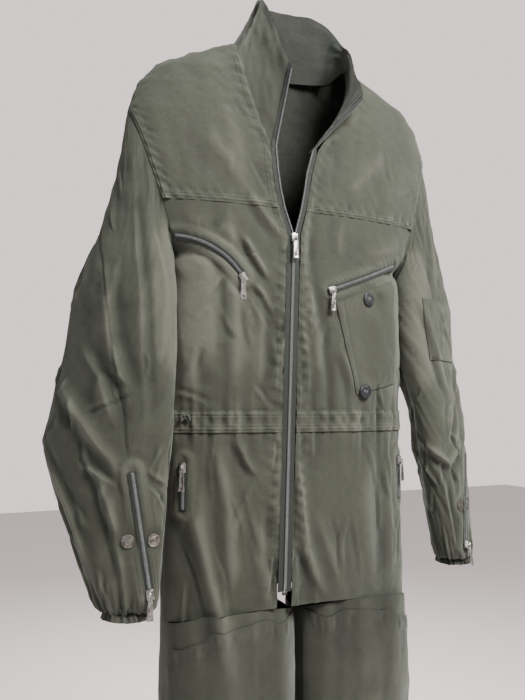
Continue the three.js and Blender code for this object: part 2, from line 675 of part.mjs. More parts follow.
function forearmNormal(side, share, angle) {
  const step = 0.2;
  const next = forearmPoint(side, share, angle + step);
  const before = forearmPoint(side, share, angle - step);
  const along = forearmPoint(side, 1, angle).sub(forearmPoint(side, 0, angle));
  const normal = next.sub(before).cross(along).normalize();
  const outward = forearmPoint(side, share, angle).sub(sleeveCentre(side, ZIP_TOP_RING)
    .lerp(sleeveCentre(side, ZIP_END_RING), share));
  return normal.dot(outward) < 0 ? normal.negate() : normal;
}

const SNAP_SHARE = 0.55;      // the snaps sit at this share of the forearm below the elbow
const SNAP_OFFSETS = [-15.5, 15.5];   // from the middle of the zip

function buildSleeveZip(side) {
  const normal = forearmNormal(side, 0.5, 0);
  const lift = 3.7;
  const top = forearmPoint(side, 0.02, 0).addScaledVector(normal, lift);
  const bottom = forearmPoint(side, 0.985, 0).addScaledVector(normal, lift);
  straightZip(`sleeve_zip_${side.name}`, top, bottom, normal, 0.96, bottom.clone().sub(top));
}

function buildSnaps(side) {
  SNAP_OFFSETS.forEach((offset, i) => {
    const step = 0.1;
    const perStep = forearmPoint(side, SNAP_SHARE, step).distanceTo(forearmPoint(side, SNAP_SHARE, 0));
    const angle = (offset * step) / perStep;
    const normal = forearmNormal(side, SNAP_SHARE, angle);
    const at = forearmPoint(side, SNAP_SHARE, angle).addScaledVector(normal, 1.3);
    const disc = turnedDisc(SNAP_R, SNAP_HEIGHT, SNAP_PROFILE, 16);
    addDisc(`snap_${side.name}_${i + 1}`, disc, metal(BRONZE), at, normal);
  });
}

// ---- legs -----------------------------------------------------------------------------
function legPoint(side, t, z, inset = 0) {
  const centre = tableAt(LEG, z, 1);
  const a = tableAt(LEG, z, 2) - inset;
  const b = tableAt(LEG, z, 3) - inset;
  const power = 2 / LEG_POWER;
  const x = a * Math.sign(Math.cos(t)) * Math.abs(Math.cos(t)) ** power;
  const y = b * Math.sign(Math.sin(t)) * Math.abs(Math.sin(t)) ** power;
  return vec(side.sign * centre + x, y, z);
}

const LEG_COLUMNS = 32;

function legRing(side, z, inset) {
  return ringAngles(0, LEG_COLUMNS).map((t) => legPoint(side, t, z, inset));
}

// The top of a leg follows the round hip seam.
function legTop(side, inset) {
  const radius = LEG_CUT_R + LEG_CUT_GAP / 2;
  return legRing(side, -760, inset).map((p) => {
    p.z = HIP_PIVOT_Z - Math.sqrt(radius ** 2 - p.y ** 2);
    return p;
  });
}

function buildLeg(side) {
  const hemTop = HEM_Z + HEM_HEIGHT;
  const tube = (name, rings, colour) => addPiece(
    name, sheetGeometry(rings(0), rings(CLOTH), true), cloth(colour),
  );
  tube(`leg_${side.name}`, (inset) => [
    legTop(side, inset), ...[-830, -900, -1200, hemTop + SEAM_GAP].map((z) => legRing(side, z, inset)),
  ], OLIVE);
  tube(`hem_band_${side.name}`, (inset) => [hemTop, HEM_Z].map((z) => legRing(side, z, inset)), OLIVE_DARK);
  const columns = [];
  for (let k = 18; k <= 30; k += 1) columns.push((2 * Math.PI * k) / LEG_COLUMNS);
  const patch = (inset) => [KNEE_PATCH_TOP_Z, -900, -1200, KNEE_PATCH_BOTTOM_Z].map((z) => (
    columns.map((t) => legPoint(side, t, z, inset))
  ));
  addPiece(`knee_patch_${side.name}`, sheetGeometry(patch(-CLOTH), patch(-SEAT_GAP)), cloth(OLIVE_DARK));
}

// ---- pockets, buttons and the waist tie ----------------------------------------------------
// Corners of the slanted pocket on the wearer's left chest, as x and z on the panel.
const CHEST_POCKET = { topIn: [50, -356], topOut: [160, -313], lowIn: [84, -488], lowOut: [160, -470] };
const POCKET_CLOTH = 1.4;
const POCKET_SEAT = 0.9;      // clearance of a patch pocket over the curved panel

function buildChestPocket() {
  const grid = (lift) => {
    const lines = [];
    for (let r = 0; r <= 6; r += 1) {
      const line = [];
      for (let c = 0; c <= 6; c += 1) {
        const { topIn, topOut, lowIn, lowOut } = CHEST_POCKET;
        const at = (axis) => lerp(
          lerp(topIn[axis], topOut[axis], c / 6), lerp(lowIn[axis], lowOut[axis], c / 6), r / 6,
        );
        line.push(frontPoint(at(0), at(1), -lift));
      }
      lines.push(line);
    }
    return lines;
  };
  const sheet = sheetGeometry(grid(POCKET_SEAT + POCKET_CLOTH), grid(POCKET_SEAT));
  addPiece('chest_pocket_left', sheet, cloth(OLIVE));
}

const BUTTONS = [{ name: 'upper', x: 108, z: -347 }, { name: 'lower', x: 98, z: -483 }];

function buildButtons() {
  for (const { name, x, z } of BUTTONS) {
    const normal = bodyNormal(x, z);
    const at = frontPoint(x, z, -(POCKET_SEAT + POCKET_CLOTH)).addScaledVector(normal, 0.3);
    const disc = turnedDisc(BUTTON_R, BUTTON_HEIGHT, BUTTON_PROFILE, 24);
    addDisc(`pocket_button_${name}`, disc, cloth(BLACK), at, normal);
  }
}

function buildArmPocket(side) {
  const columns = [0, 1, 2, 3, 4, 5, 6, 7];
  const rows = (lift) => [0, 1].map((index) => {
    const ring = sleeveRing(side, index, -lift);
    return columns.map((c) => ring[c]);
  });
  const sheet = sheetGeometry(rows(SEAT_GAP + POCKET_CLOTH), rows(SEAT_GAP));
  addPiece(`arm_pocket_${side.name}`, sheet, cloth(OLIVE));
}

const WAIST_TIE = { x: -168, z: WAIST_TOP_Z - 10, width: 14, height: 12, thick: 5 };

function buildWaistTie() {
  const { x, z, width, height, thick } = WAIST_TIE;
  const seat = frontPoint(x, z, -(WAIST_LIFT + 0.9 + thick / 2));
  const normal = bodyNormal(x, z);
  const matrix = frameMatrix(vec(0, 0, 1), normal, seat);
  addPiece('waist_tie', new THREE.BoxGeometry(width, height, thick).applyMatrix4(matrix), cloth(OLIVE_DARK));
}

// ---- assembly ----------------------------------------------------------------------------
buildBody();
buildCollar();
SIDES.forEach(buildMainTape);

const zipDirection = vec(ZIP_END.x - ZIP_TOP.x, 0, ZIP_END.z - ZIP_TOP.z).normalize();
const mainStart = vec(ZIP_TOP.x, -FRONT_DEPTH - 0.4, ZIP_TOP.z).addScaledVector(zipDirection, 7);
addSliderAndPull('main_zip', mainStart, zipDirection.clone().negate(), FRONT, PULL_DOWN);
const stopAt = vec(ZIP_END.x, -FRONT_DEPTH + TAPE_THICK / 2, ZIP_END.z).addScaledVector(zipDirection, 2.6);
addPiece('main_zip_stop', new THREE.BoxGeometry(7, 3, 4), metal(NICKEL), stopAt);

CHEST_ZIPS.forEach(buildChestZip);
for (const side of SIDES) {
  const sign = side.sign;
  const middle = (SIDE_ZIP.top + SIDE_ZIP.bottom) / 2;
  const normal = bodyNormal(sign * SIDE_ZIP.x, middle);
  const seat = frontPoint(sign * SIDE_ZIP.x, middle).addScaledVector(normal, ZIP_SEAT + 0.4);
  const sideZipTop = seat.clone().setZ(SIDE_ZIP.top);
  const sideZipBottom = seat.clone().setZ(SIDE_ZIP.bottom);
  straightZip(`side_zip_${side.name}`, sideZipTop, sideZipBottom, normal, 0.12, vec(0, 0, 1));
  buildSleeve(side);
  buildSleeveZip(side);
  buildSnaps(side);
  buildLeg(side);
}
buildChestPocket();
buildButtons();
buildArmPocket(SIDES[1]);
buildWaistTie();

export default part;
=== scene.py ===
"""Looks of a hanging work coverall: cloth, seams, zips, buttons and snaps.

Metres, +Z up. The origin is the centre of the neck, -Y is the wearer's front and -X the wearer's right.
"""
import json
import logging
import math
from dataclasses import dataclass, field
from enum import Enum
from typing import Callable, Optional, Sequence

import bpy
import numpy as np
from mathutils import Matrix, Vector


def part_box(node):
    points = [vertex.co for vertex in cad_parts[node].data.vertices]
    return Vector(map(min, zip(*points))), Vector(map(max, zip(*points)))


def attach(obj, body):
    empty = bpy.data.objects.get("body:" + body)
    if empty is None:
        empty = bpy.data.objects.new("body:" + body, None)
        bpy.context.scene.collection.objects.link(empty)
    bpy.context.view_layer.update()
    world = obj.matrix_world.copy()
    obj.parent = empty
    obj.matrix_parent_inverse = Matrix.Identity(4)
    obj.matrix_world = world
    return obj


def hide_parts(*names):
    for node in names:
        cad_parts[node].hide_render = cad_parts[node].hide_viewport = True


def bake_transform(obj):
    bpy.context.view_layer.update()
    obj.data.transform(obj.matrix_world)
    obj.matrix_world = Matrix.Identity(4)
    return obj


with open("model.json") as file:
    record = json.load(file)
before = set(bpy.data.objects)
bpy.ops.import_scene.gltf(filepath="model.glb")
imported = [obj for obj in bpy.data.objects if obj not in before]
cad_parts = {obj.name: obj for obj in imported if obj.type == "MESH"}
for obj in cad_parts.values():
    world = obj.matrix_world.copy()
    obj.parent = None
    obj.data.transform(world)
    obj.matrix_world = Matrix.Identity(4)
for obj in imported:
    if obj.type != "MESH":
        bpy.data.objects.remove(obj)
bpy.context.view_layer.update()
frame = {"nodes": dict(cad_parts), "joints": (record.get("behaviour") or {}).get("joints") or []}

log = logging.getLogger("coverall")
MM = 0.001


class Side(Enum):
    """The wearer's side, with its sign along X."""

    RIGHT = -1
    LEFT = 1

    @property
    def label(self) -> str:
        """The side's name as the nodes spell it."""
        return self.name.lower()


# ---- node trees ----------------------------------------------------------------------------------
class Tree:
    """A shader node tree with short calls for adding and joining nodes."""

    def __init__(self, tree: bpy.types.NodeTree) -> None:
        """Keeps the tree that the nodes go into."""
        self.tree = tree

    def node(self, kind: str, inputs: Optional[dict] = None, **settings) -> bpy.types.Node:
        """Adds a node.

        Args:
            kind: the node's class name without its ShaderNode prefix.
            inputs: values or sockets for its inputs, by name or number.
            settings: attributes of the node.
        Returns:
            The new node.
        """
        made = self.tree.nodes.new(kind if kind.startswith("Node") else "ShaderNode" + kind)
        for key, value in settings.items():
            setattr(made, key, value)
        for key, value in (inputs or {}).items():
            if isinstance(value, bpy.types.NodeSocket):
                self.tree.links.new(value, made.inputs[key])
            else:
                made.inputs[key].default_value = value
        return made

    def math(self, operation: str, *values) -> bpy.types.NodeSocket:
        """Adds a Math node and returns its output."""
        return self.node("Math", dict(enumerate(values)), operation=operation).outputs[0]

    def noise(self, vector: bpy.types.NodeSocket, scale: float, detail: float = 2.0,
              roughness: float = 0.5) -> bpy.types.NodeSocket:
        """Adds a Noise Texture on a vector and returns its value."""
        values = {"Vector": vector, "Scale": scale, "Detail": detail, "Roughness": roughness}
        return self.node("TexNoise", values).outputs["Fac"]

    def spread(self, value: bpy.types.NodeSocket, low: float, high: float,
               to_low: float = 0.0, to_high: float = 1.0) -> bpy.types.NodeSocket:
        """Maps a value from one range to another, smoothly, and returns the result."""
        inputs = {0: value, 1: low, 2: high, 3: to_low, 4: to_high}
        return self.node("MapRange", inputs, interpolation_type="SMOOTHSTEP").outputs[0]

    def mix(self, share: bpy.types.NodeSocket, first: object, second: object) -> bpy.types.NodeSocket:
        """Mixes two colours and returns the result."""
        made = self.node("Mix", {0: share, 6: first, 7: second}, data_type="RGBA")
        return made.outputs[2]


def make_group(name: str, inputs: dict, outputs: dict, fill: Callable) -> bpy.types.NodeTree:
    """Makes a shader node group.

    Args:
        name: the group's name.
        inputs: socket class and default for each input name.
        outputs: socket class for each output name.
        fill: called with the Tree and the input sockets; returns the output sockets by name.
    Returns:
        The group.
    """
    group = bpy.data.node_groups.new(name, "ShaderNodeTree")
    for key, (kind, value) in inputs.items():
        socket = group.interface.new_socket(key, in_out="INPUT", socket_type=kind)
        if value is not None:
            socket.default_value = value
    for key, kind in outputs.items():
        group.interface.new_socket(key, in_out="OUTPUT", socket_type=kind)
    tree = Tree(group)
    source = tree.node("NodeGroupInput")
    end = tree.node("NodeGroupOutput")
    for key, socket in fill(tree, source.outputs).items():
        group.links.new(socket, end.inputs[key])
    return group


def twill_group() -> bpy.types.NodeTree:
    """Diagonal twill: raised threads in slanting ribs, from a surface map in metres."""

    def fill(tree: Tree, given: bpy.types.NodeInputs) -> dict:
        split = tree.node("SeparateXYZ", {0: given["Surface"]})
        across = tree.math("DIVIDE", split.outputs[0], given["Pitch"])
        along = tree.math("DIVIDE", split.outputs[1], given["Pitch"])
        slant = tree.math("MULTIPLY", tree.math("ADD", across, along), math.tau)
        rib = tree.math("SINE", slant)
        thread = tree.math("SINE", tree.math("MULTIPLY", across, 2 * math.tau))
        sum_up = tree.math("ADD", tree.math("MULTIPLY", rib, 0.35), tree.math("MULTIPLY", thread, 0.12))
        slub = tree.noise(given["Surface"], 900.0, 2.0)
        return {"Height": tree.math("ADD", sum_up, slub)}

    inputs = {"Surface": ("NodeSocketVector", None), "Pitch": ("NodeSocketFloat", 0.0011)}
    return make_group("Twill weave", inputs, {"Height": "NodeSocketFloat"}, fill)


def fade_group() -> bpy.types.NodeTree:
    """How much a garment has faded in broad patches and streaks down the cloth, plus painted light that
    follows the folds: painted highlight on raised folds, painted shade in their hollows.
    """

    def fill(tree: Tree, given: bpy.types.NodeInputs) -> dict:
        place = given["Place"]
        broad = tree.noise(place, 5.0, 3.0)
        stretched = tree.node("Mapping", {"Vector": place, "Scale": (26.0, 26.0, 5.0)}).outputs[0]
        streaks = tree.noise(stretched, 1.0, 4.0, 0.6)
        fine = tree.noise(place, 160.0, 3.0, 0.7)
        # Painted light: raised folds are pushed towards the light colour as painted highlight, hollows
        # towards the dark colour as painted shade.
        fold_shade_and_highlight = tree.math("MULTIPLY", given["Relief"], 0.55)
        total = tree.math("ADD", tree.math("MULTIPLY", broad, 0.5), tree.math("MULTIPLY", streaks, 0.35))
        total = tree.math("ADD", total, tree.math("MULTIPLY", fine, 0.15))
        return {"Fade": tree.math("ADD", total, fold_shade_and_highlight), "Fine": fine}

    return make_group("Fading", {"Place": ("NodeSocketVector", None), "Relief": ("NodeSocketFloat", 0.0)},
                      {"Fade": "NodeSocketFloat", "Fine": "NodeSocketFloat"}, fill)


def scratch_group() -> bpy.types.NodeTree:
    """Handling marks on metal and plastic: fine scratches and dull patches."""

    def fill(tree: Tree, given: bpy.types.NodeInputs) -> dict:
        place = given["Place"]
        long = tree.node("Mapping", {"Vector": place, "Scale": (900.0, 900.0, 120.0)}).outputs[0]
        lines = tree.noise(long, 1.0, 3.0, 0.7)
        patches = tree.noise(place, 260.0, 3.0, 0.6)
        return {"Scratches": lines, "Patches": patches}

    return make_group("Handling marks", {"Place": ("NodeSocketVector", None)},
                      {"Scratches": "NodeSocketFloat", "Patches": "NodeSocketFloat"}, fill)


class Groups:
    """The shared node groups, each made once."""

    made: dict = {}

    @classmethod
    def get(cls, maker: Callable) -> bpy.types.NodeTree:
        """Returns the group of a maker, making it the first time."""
        if maker not in cls.made:
            cls.made[maker] = maker()
        return cls.made[maker]


# ---- finishes ------------------------------------------------------------------------------------
@dataclass(frozen=True)
class Finish:
    """A surface finish, built as one material.

    Attributes:
        name: the material's name.
        slot: the record's material slot; not used.
        colour: the usual colour, linear.
        light: the colour where it is faded or worn; on cloth also the painted highlight on raised folds.
        dark: the colour of fresh cloth; on cloth also the painted shade in fold hollows.
    """

    name: str
    slot: str
    colour: tuple
    light: tuple
    dark: tuple

    def start(self) -> tuple:
        """Makes the material and returns it with its Tree and Principled node."""
        material = bpy.data.materials.new(self.name)
        material.use_nodes = True
        material.diffuse_color = (*self.colour, 1.0)
        tree = Tree(material.node_tree)
        return material, tree, material.node_tree.nodes["Principled BSDF"]

    def build(self) -> bpy.types.Material:
        """Makes the material."""
        raise NotImplementedError

    def surface(self) -> bpy.types.Material:
        """The material, made once for each finish."""
        found = bpy.data.materials.get(self.name)
        return found or self.build()


@dataclass(frozen=True)
class ClothFinish(Finish):
    """Worn cotton twill with a soft sheen.

    Attributes:
        pitch: distance between two twill ribs.
        weave: height of the weave.
    """

    pitch: float = 0.0011
    weave: float = 0.00028

    def build(self) -> bpy.types.Material:
        """Makes the cloth: weave, faded patches and streaks, painted highlight and shade that follow the
        folds, and fuzz.
        """
        material, tree, shader = self.start()
        place = tree.node("TexCoord").outputs["Object"]
        surface = tree.node("UVMap").outputs[0]
        relief = tree.node("Attribute", attribute_name="relief").outputs["Fac"]
        twill = tree.node("Group", {}, node_tree=Groups.get(twill_group))
        twill.inputs["Pitch"].default_value = self.pitch
        tree.tree.links.new(surface, twill.inputs["Surface"])
        fade_and_fold_shade = tree.node("Group", {}, node_tree=Groups.get(fade_group))
        tree.tree.links.new(place, fade_and_fold_shade.inputs["Place"])
        tree.tree.links.new(relief, fade_and_fold_shade.inputs["Relief"])
        # Low values, including fold hollows as painted shade, go to the dark colour; high values, including
        # raised folds as painted highlight, go to the light one, along with the real fading.
        low = tree.mix(tree.spread(fade_and_fold_shade.outputs["Fade"], 0.22, 0.5), (*self.dark, 1), (*self.colour, 1))
        high = tree.mix(tree.spread(fade_and_fold_shade.outputs["Fade"], 0.5, 0.92), low, (*self.light, 1))
        thread = tree.spread(twill.outputs["Height"], 0.1, 0.95, 0.0, 0.30)
        shade = tree.mix(thread, high, (*self.light, 1))
        tree.tree.links.new(shade, shader.inputs["Base Color"])
        rough = tree.spread(fade_and_fold_shade.outputs["Fine"], 0.2, 0.8, 0.74, 0.92)
        tree.tree.links.new(rough, shader.inputs["Roughness"])
        crumple = tree.noise(place, 55.0, 4.0, 0.55)
        pinched = tree.math("ABSOLUTE", tree.math("SUBTRACT", tree.noise(place, 24.0, 3.0, 0.6), 0.5))
        both = tree.math("ADD", crumple, tree.math("MULTIPLY", pinched, -1.6))
        soft = tree.node("Bump", {"Height": both, "Distance": 0.0026, "Strength": 0.5})
        weave = tree.node("Bump", {
            "Height": twill.outputs["Height"],
            "Distance": self.weave,
            "Strength": 0.7,
            "Normal": soft.outputs[0],
        })
        tree.tree.links.new(weave.outputs[0], shader.inputs["Normal"])
        shader.inputs["Sheen Weight"].default_value = 0.22
        shader.inputs["Sheen Roughness"].default_value = 0.45
        shader.inputs["Sheen Tint"].default_value = (0.72, 0.80, 0.74, 1)
        shader.inputs["Specular IOR Level"].default_value = 0.28
        return material


@dataclass(frozen=True)
class MetalFinish(Finish):
    """Plated metal with scratches and dull patches.

    Attributes:
        smooth: roughness of the polished parts.
        dull: roughness of the dull patches.
    """

    smooth: float = 0.24
    dull: float = 0.48

    def build(self) -> bpy.types.Material:
        """Makes the metal."""
        material, tree, shader = self.start()
        place = tree.node("TexCoord").outputs["Object"]
        marks = tree.node("Group", {}, node_tree=Groups.get(scratch_group))
        tree.tree.links.new(place, marks.inputs["Place"])
        worn = tree.spread(marks.outputs["Patches"], 0.35, 0.7)
        shade = tree.mix(worn, (*self.colour, 1), (*self.light, 1))
        grime = tree.spread(marks.outputs["Scratches"], 0.62, 0.8, 0.0, 0.5)
        tree.tree.links.new(tree.mix(grime, shade, (*self.dark, 1)), shader.inputs["Base Color"])
        rough = tree.spread(marks.outputs["Patches"], 0.25, 0.75, self.smooth, self.dull)
        tree.tree.links.new(rough, shader.inputs["Roughness"])
        bump = tree.node("Bump", {"Height": marks.outputs["Scratches"], "Distance": 0.00012, "Strength": 0.4})
        tree.tree.links.new(bump.outputs[0], shader.inputs["Normal"])
        shader.inputs["Metallic"].default_value = 1.0
        return material


@dataclass(frozen=True)
class PlasticFinish(Finish):
    """Moulded plastic or nylon with a faint texture.

    Attributes:
        gloss: lowest roughness.
    """

    gloss: float = 0.32

    def build(self) -> bpy.types.Material:
        """Makes the plastic."""
        material, tree, shader = self.start()
        place = tree.node("TexCoord").outputs["Object"]
        marks = tree.node("Group", {}, node_tree=Groups.get(scratch_group))
        tree.tree.links.new(place, marks.inputs["Place"])
        rub = tree.spread(marks.outputs["Patches"], 0.45, 0.75)
        tree.tree.links.new(tree.mix(rub, (*self.colour, 1), (*self.light, 1)), shader.inputs["Base Color"])
        rough = tree.spread(marks.outputs["Patches"], 0.3, 0.7, self.gloss, self.gloss + 0.25)
        tree.tree.links.new(rough, shader.inputs["Roughness"])
        bump = tree.node("Bump", {"Height": marks.outputs["Scratches"], "Distance": 0.00008, "Strength": 0.5})
        tree.tree.links.new(bump.outputs[0], shader.inputs["Normal"])
        return material


OLIVE = ClothFinish("Olive twill", "olive_cloth",
                    (0.026, 0.0290, 0.0205), (0.066, 0.070, 0.055), (0.010, 0.0115, 0.008))
OLIVE_DARK = ClothFinish("Olive twill, doubled", "olive_cloth_dark",
                         (0.023, 0.0255, 0.0185), (0.060, 0.064, 0.051), (0.009, 0.0100, 0.007))
# Painted shade: the inside of the garment, darker than even the unfaded cloth, as if lying in shadow.
UNFADED_AND_SHADED_INSIDE = ClothFinish("Inner face of the twill", "olive_cloth_dark",
                     (0.008, 0.009, 0.007), (0.016, 0.018, 0.014), (0.004, 0.005, 0.004))
TAPE = ClothFinish("Zip tape", "zip_tape",
                   (0.013, 0.016, 0.014), (0.034, 0.040, 0.036), (0.006, 0.008, 0.007), 0.0016, 0.0003)
THREAD = ClothFinish("Sewing thread", "olive_cloth",
                     (0.085, 0.093, 0.068), (0.150, 0.158, 0.122), (0.045, 0.050, 0.034), 0.0006, 0.0001)
COIL = PlasticFinish("Coil nylon", "zip_tape",
                     (0.080, 0.086, 0.090), (0.16, 0.168, 0.172), (0.03, 0.03, 0.03), 0.34)
NICKEL = MetalFinish("Nickel plate", "nickel", (0.36, 0.35, 0.34), (0.56, 0.55, 0.53), (0.10, 0.09, 0.08))
BRONZE = MetalFinish("Snap metal", "bronze",
                     (0.150, 0.135, 0.118), (0.30, 0.285, 0.27), (0.05, 0.04, 0.03), 0.3, 0.5)
BLACK = PlasticFinish("Button plastic", "black_plastic",
                      (0.012, 0.013, 0.015), (0.035, 0.036, 0.04), (0.006, 0.006, 0.006), 0.28)


# ---- wrinkles ------------------------------------------------------------------------------------
class Ripples:
    """Smooth irregular waves over a surface, from a fixed seed."""

    def __init__(self, seed: int, longest: float, shortest: float, count: int = 9) -> None:
        """Draws the waves.

        Args:
            seed: fixes the draw.
            longest: longest wavelength, in metres.
            shortest: shortest wavelength, in metres.
            count: number of waves.
        """
        draw = np.random.default_rng(seed)
        lengths = np.geomspace(longest, shortest, count)
        turns = draw.uniform(0, math.pi, count)
        self.first = np.cos(turns) * math.tau / lengths
        self.second = np.sin(turns) * math.tau / lengths
        self.phase = draw.uniform(0, math.tau, count)
        self.share = (lengths / longest) ** 0.8
        self.share /= self.share.sum()

    def at(self, first: np.ndarray, second: np.ndarray) -> np.ndarray:
        """Height of the waves, about -1 to 1, at two surface coordinates in metres."""
        total = np.zeros(np.broadcast(first, second).shape)
        for a, b, p, s in zip(self.first, self.second, self.phase, self.share):
            total = total + s * np.sin(a * first + b * second + p)
        return total * 1.8


def smooth_step(value: np.ndarray) -> np.ndarray:
    """Rises from 0 to 1 with soft ends while the value goes from 0 to 1."""
    clipped = np.clip(value, 0, 1)
    return clipped * clipped * (3 - 2 * clipped)


@dataclass(frozen=True)
class Fold:
    """A fold or crease in a panel, in millimetres.

    Attributes:
        path: points across and up the panel that the ridge follows.
        width: half width of the ridge.
        height: height of the ridge, negative for a valley.
        trough: depth of the hollow beside it, as a share of the ridge.
        lean: which side the hollow is on, 1 or -1.
    """

    path: tuple
    width: float
    height: float
    trough: float = 0.6
    lean: int = 1

    def relief(self, across: np.ndarray, up: np.ndarray) -> np.ndarray:
        """Height of the fold in metres at points given in metres."""
        width = self.width * MM
        best, signed, share = measure(self.path, across, up)
        ends = smooth_step(share / 0.3) * smooth_step((1 - share) / 0.3) + 0.08
        ridge = 0.42 * np.exp(-(best / width) ** 2) + 0.58 * np.exp(-best / (0.62 * width))
        nearby = np.exp(-(best / (3 * width)) ** 2)
        beside = np.exp(-((signed * self.lean - 1.5 * width) / width) ** 2) * nearby
        return self.height * MM * ends * (ridge - self.trough * beside)


@dataclass(frozen=True)
class Seam:
    """A lapped seam: a doubled band on one side of a line, with its stitch groove.

    Attributes:
        path: points across and up, in millimetres.
        band: width of the band.
        lean: which side the band is on, 1 or -1.
    """

    path: tuple
    band: float = 7.0
    lean: int = 1

    def relief(self, across: np.ndarray, up: np.ndarray) -> np.ndarray:
        """Height of the seam in metres at points given in metres."""
        best, signed, share = measure(self.path, across, up)
        side = signed * self.lean / MM
        ends = smooth_step(share / 0.03) * smooth_step((1 - share) / 0.03)
        near = np.exp(-(best / (2.2 * self.band * MM)) ** 6) * ends
        band = 0.0010 * smooth_step((side + 0.6) / 1.2) * smooth_step((self.band + 2 - side) / 3)
        grooves = 0.0017 * np.exp(-(side / 1.9) ** 2)
        grooves = grooves + 0.0009 * np.exp(-((side - self.band + 1.4) / 1.6) ** 2)
        return near * (band - grooves)


def measure(path: tuple, across: np.ndarray, up: np.ndarray) -> tuple:
    """Distance to a path in millimetres, signed distance, and share of the path at the nearest place."""
    points = np.array(path, float) * MM
    best = np.full(np.broadcast(across, up).shape, 1e9)
    signed = np.zeros_like(best)
    share = np.zeros_like(best)
    lengths = np.linalg.norm(np.diff(points, axis=0), axis=1)
    gone = 0.0
    for (x0, z0), (x1, z1), length in zip(points[:-1], points[1:], lengths):
        dx, dz = (x1 - x0) / length, (z1 - z0) / length
        held = np.clip((across - x0) * dx + (up - z0) * dz, 0, length)
        off_x, off_z = across - (x0 + held * dx), up - (z0 + held * dz)
        distance = np.hypot(off_x, off_z)
        closer = distance < best
        best = np.where(closer, distance, best)
        signed = np.where(closer, off_x * dz - off_z * dx, signed)
        share = np.where(closer, (gone + held) / lengths.sum(), share)
        gone += length
    return best, signed, share


def creases(seed: int, box: tuple, count: int, length: tuple, slope: tuple, height: float) -> tuple:
    """Short creases strewn over a region.

    Args:
        seed: fixes the draw.
        box: low and high across, low and high up, in millimetres.
        count: number of creases.
        length: shortest and longest, in millimetres.
        slope: range of their direction, in degrees from upright.
        height: of the highest one.
    Returns:
        The creases.
    """
    draw = np.random.default_rng(seed)
    found = []
    for _ in range(count):
        x, z = draw.uniform(box[0], box[1]), draw.uniform(box[2], box[3])
        turn = math.radians(draw.uniform(*slope))
        half = draw.uniform(*length) / 2
        dx, dz = half * math.sin(turn), half * math.cos(turn)
        bend = draw.uniform(-0.2, 0.2) * half
        path = ((x - dx, z - dz), (x + bend, z), (x + dx, z + dz))
        width, rise = draw.uniform(2.4, 5.2), height * draw.uniform(0.3, 1.0)
        found.append(Fold(path, width, rise, 0.9, int(draw.choice((-1, 1)))))
    return tuple(found)


@dataclass
class Calm:
    """A place where the cloth lies flat under a fitting.

    Attributes:
        path: points of the fitting's seat, in metres.
        flat: how far out the cloth is flat.
        welt: whether lips of cloth frame the fitting, as along a set-in zip.
        sink: how far under the seat the cloth lies.
    """

    path: np.ndarray
    flat: float = 0.010
    welt: bool = False
    sink: float = 0.0

    def apply(self, base: np.ndarray, relief: np.ndarray, facing: np.ndarray) -> np.ndarray:
        """Flattens a relief round the fitting and lifts or lowers the cloth to its seat.

        Args:
            base: points of the plain cloth.
            relief: heights over them.
            facing: normals of the plain cloth.
        Returns:
            The new heights.
        """
        gaps = np.linalg.norm(base[:, :, None] - self.path, axis=3)
        under = gaps.min(axis=(0, 1))
        if under.min() > 0.012:
            return relief
        closest = gaps.reshape(-1, len(self.path)).argmin(axis=0)
        offsets = self.path - base.reshape(-1, 3)[closest]
        heights = (offsets * facing.reshape(-1, 3)[closest]).sum(axis=1)
        rise = (np.clip(heights, -0.012, 0.012) - self.sink)[gaps.argmin(axis=2)]
        side = np.sqrt(np.maximum(gaps.min(axis=2) ** 2 - rise ** 2, 0))
        loose = smooth_step((side - self.flat) / 0.020)
        if not self.welt:
            return relief * loose + rise * (1 - smooth_step((side - self.flat * 0.8) / 0.010))
        lip = smooth_step((side - 0.0050) / 0.0012) * (1 - smooth_step((side - 0.0118) / 0.007))
        grooves = sum(0.0007 * np.exp(-((side - d) / 0.0010) ** 2) for d in (0.0075, 0.0120))
        floor = (1 - smooth_step((side - 0.0050) / 0.0012)) * (rise - 0.0014)
        return relief * loose + lip * rise + floor - grooves


# ---- cloth ---------------------------------------------------------------------------------------
def finish_object(name: str, mesh: bpy.types.Mesh, finish: Finish) -> bpy.types.Object:
    """Links a mesh as an object at the origin with its material and smooth faces."""
    made = bpy.data.objects.new(name, mesh)
    bpy.context.scene.collection.objects.link(made)
    mesh.materials.append(finish.surface())
    mesh.polygons.foreach_set("use_smooth", [True] * len(mesh.polygons))
    return made


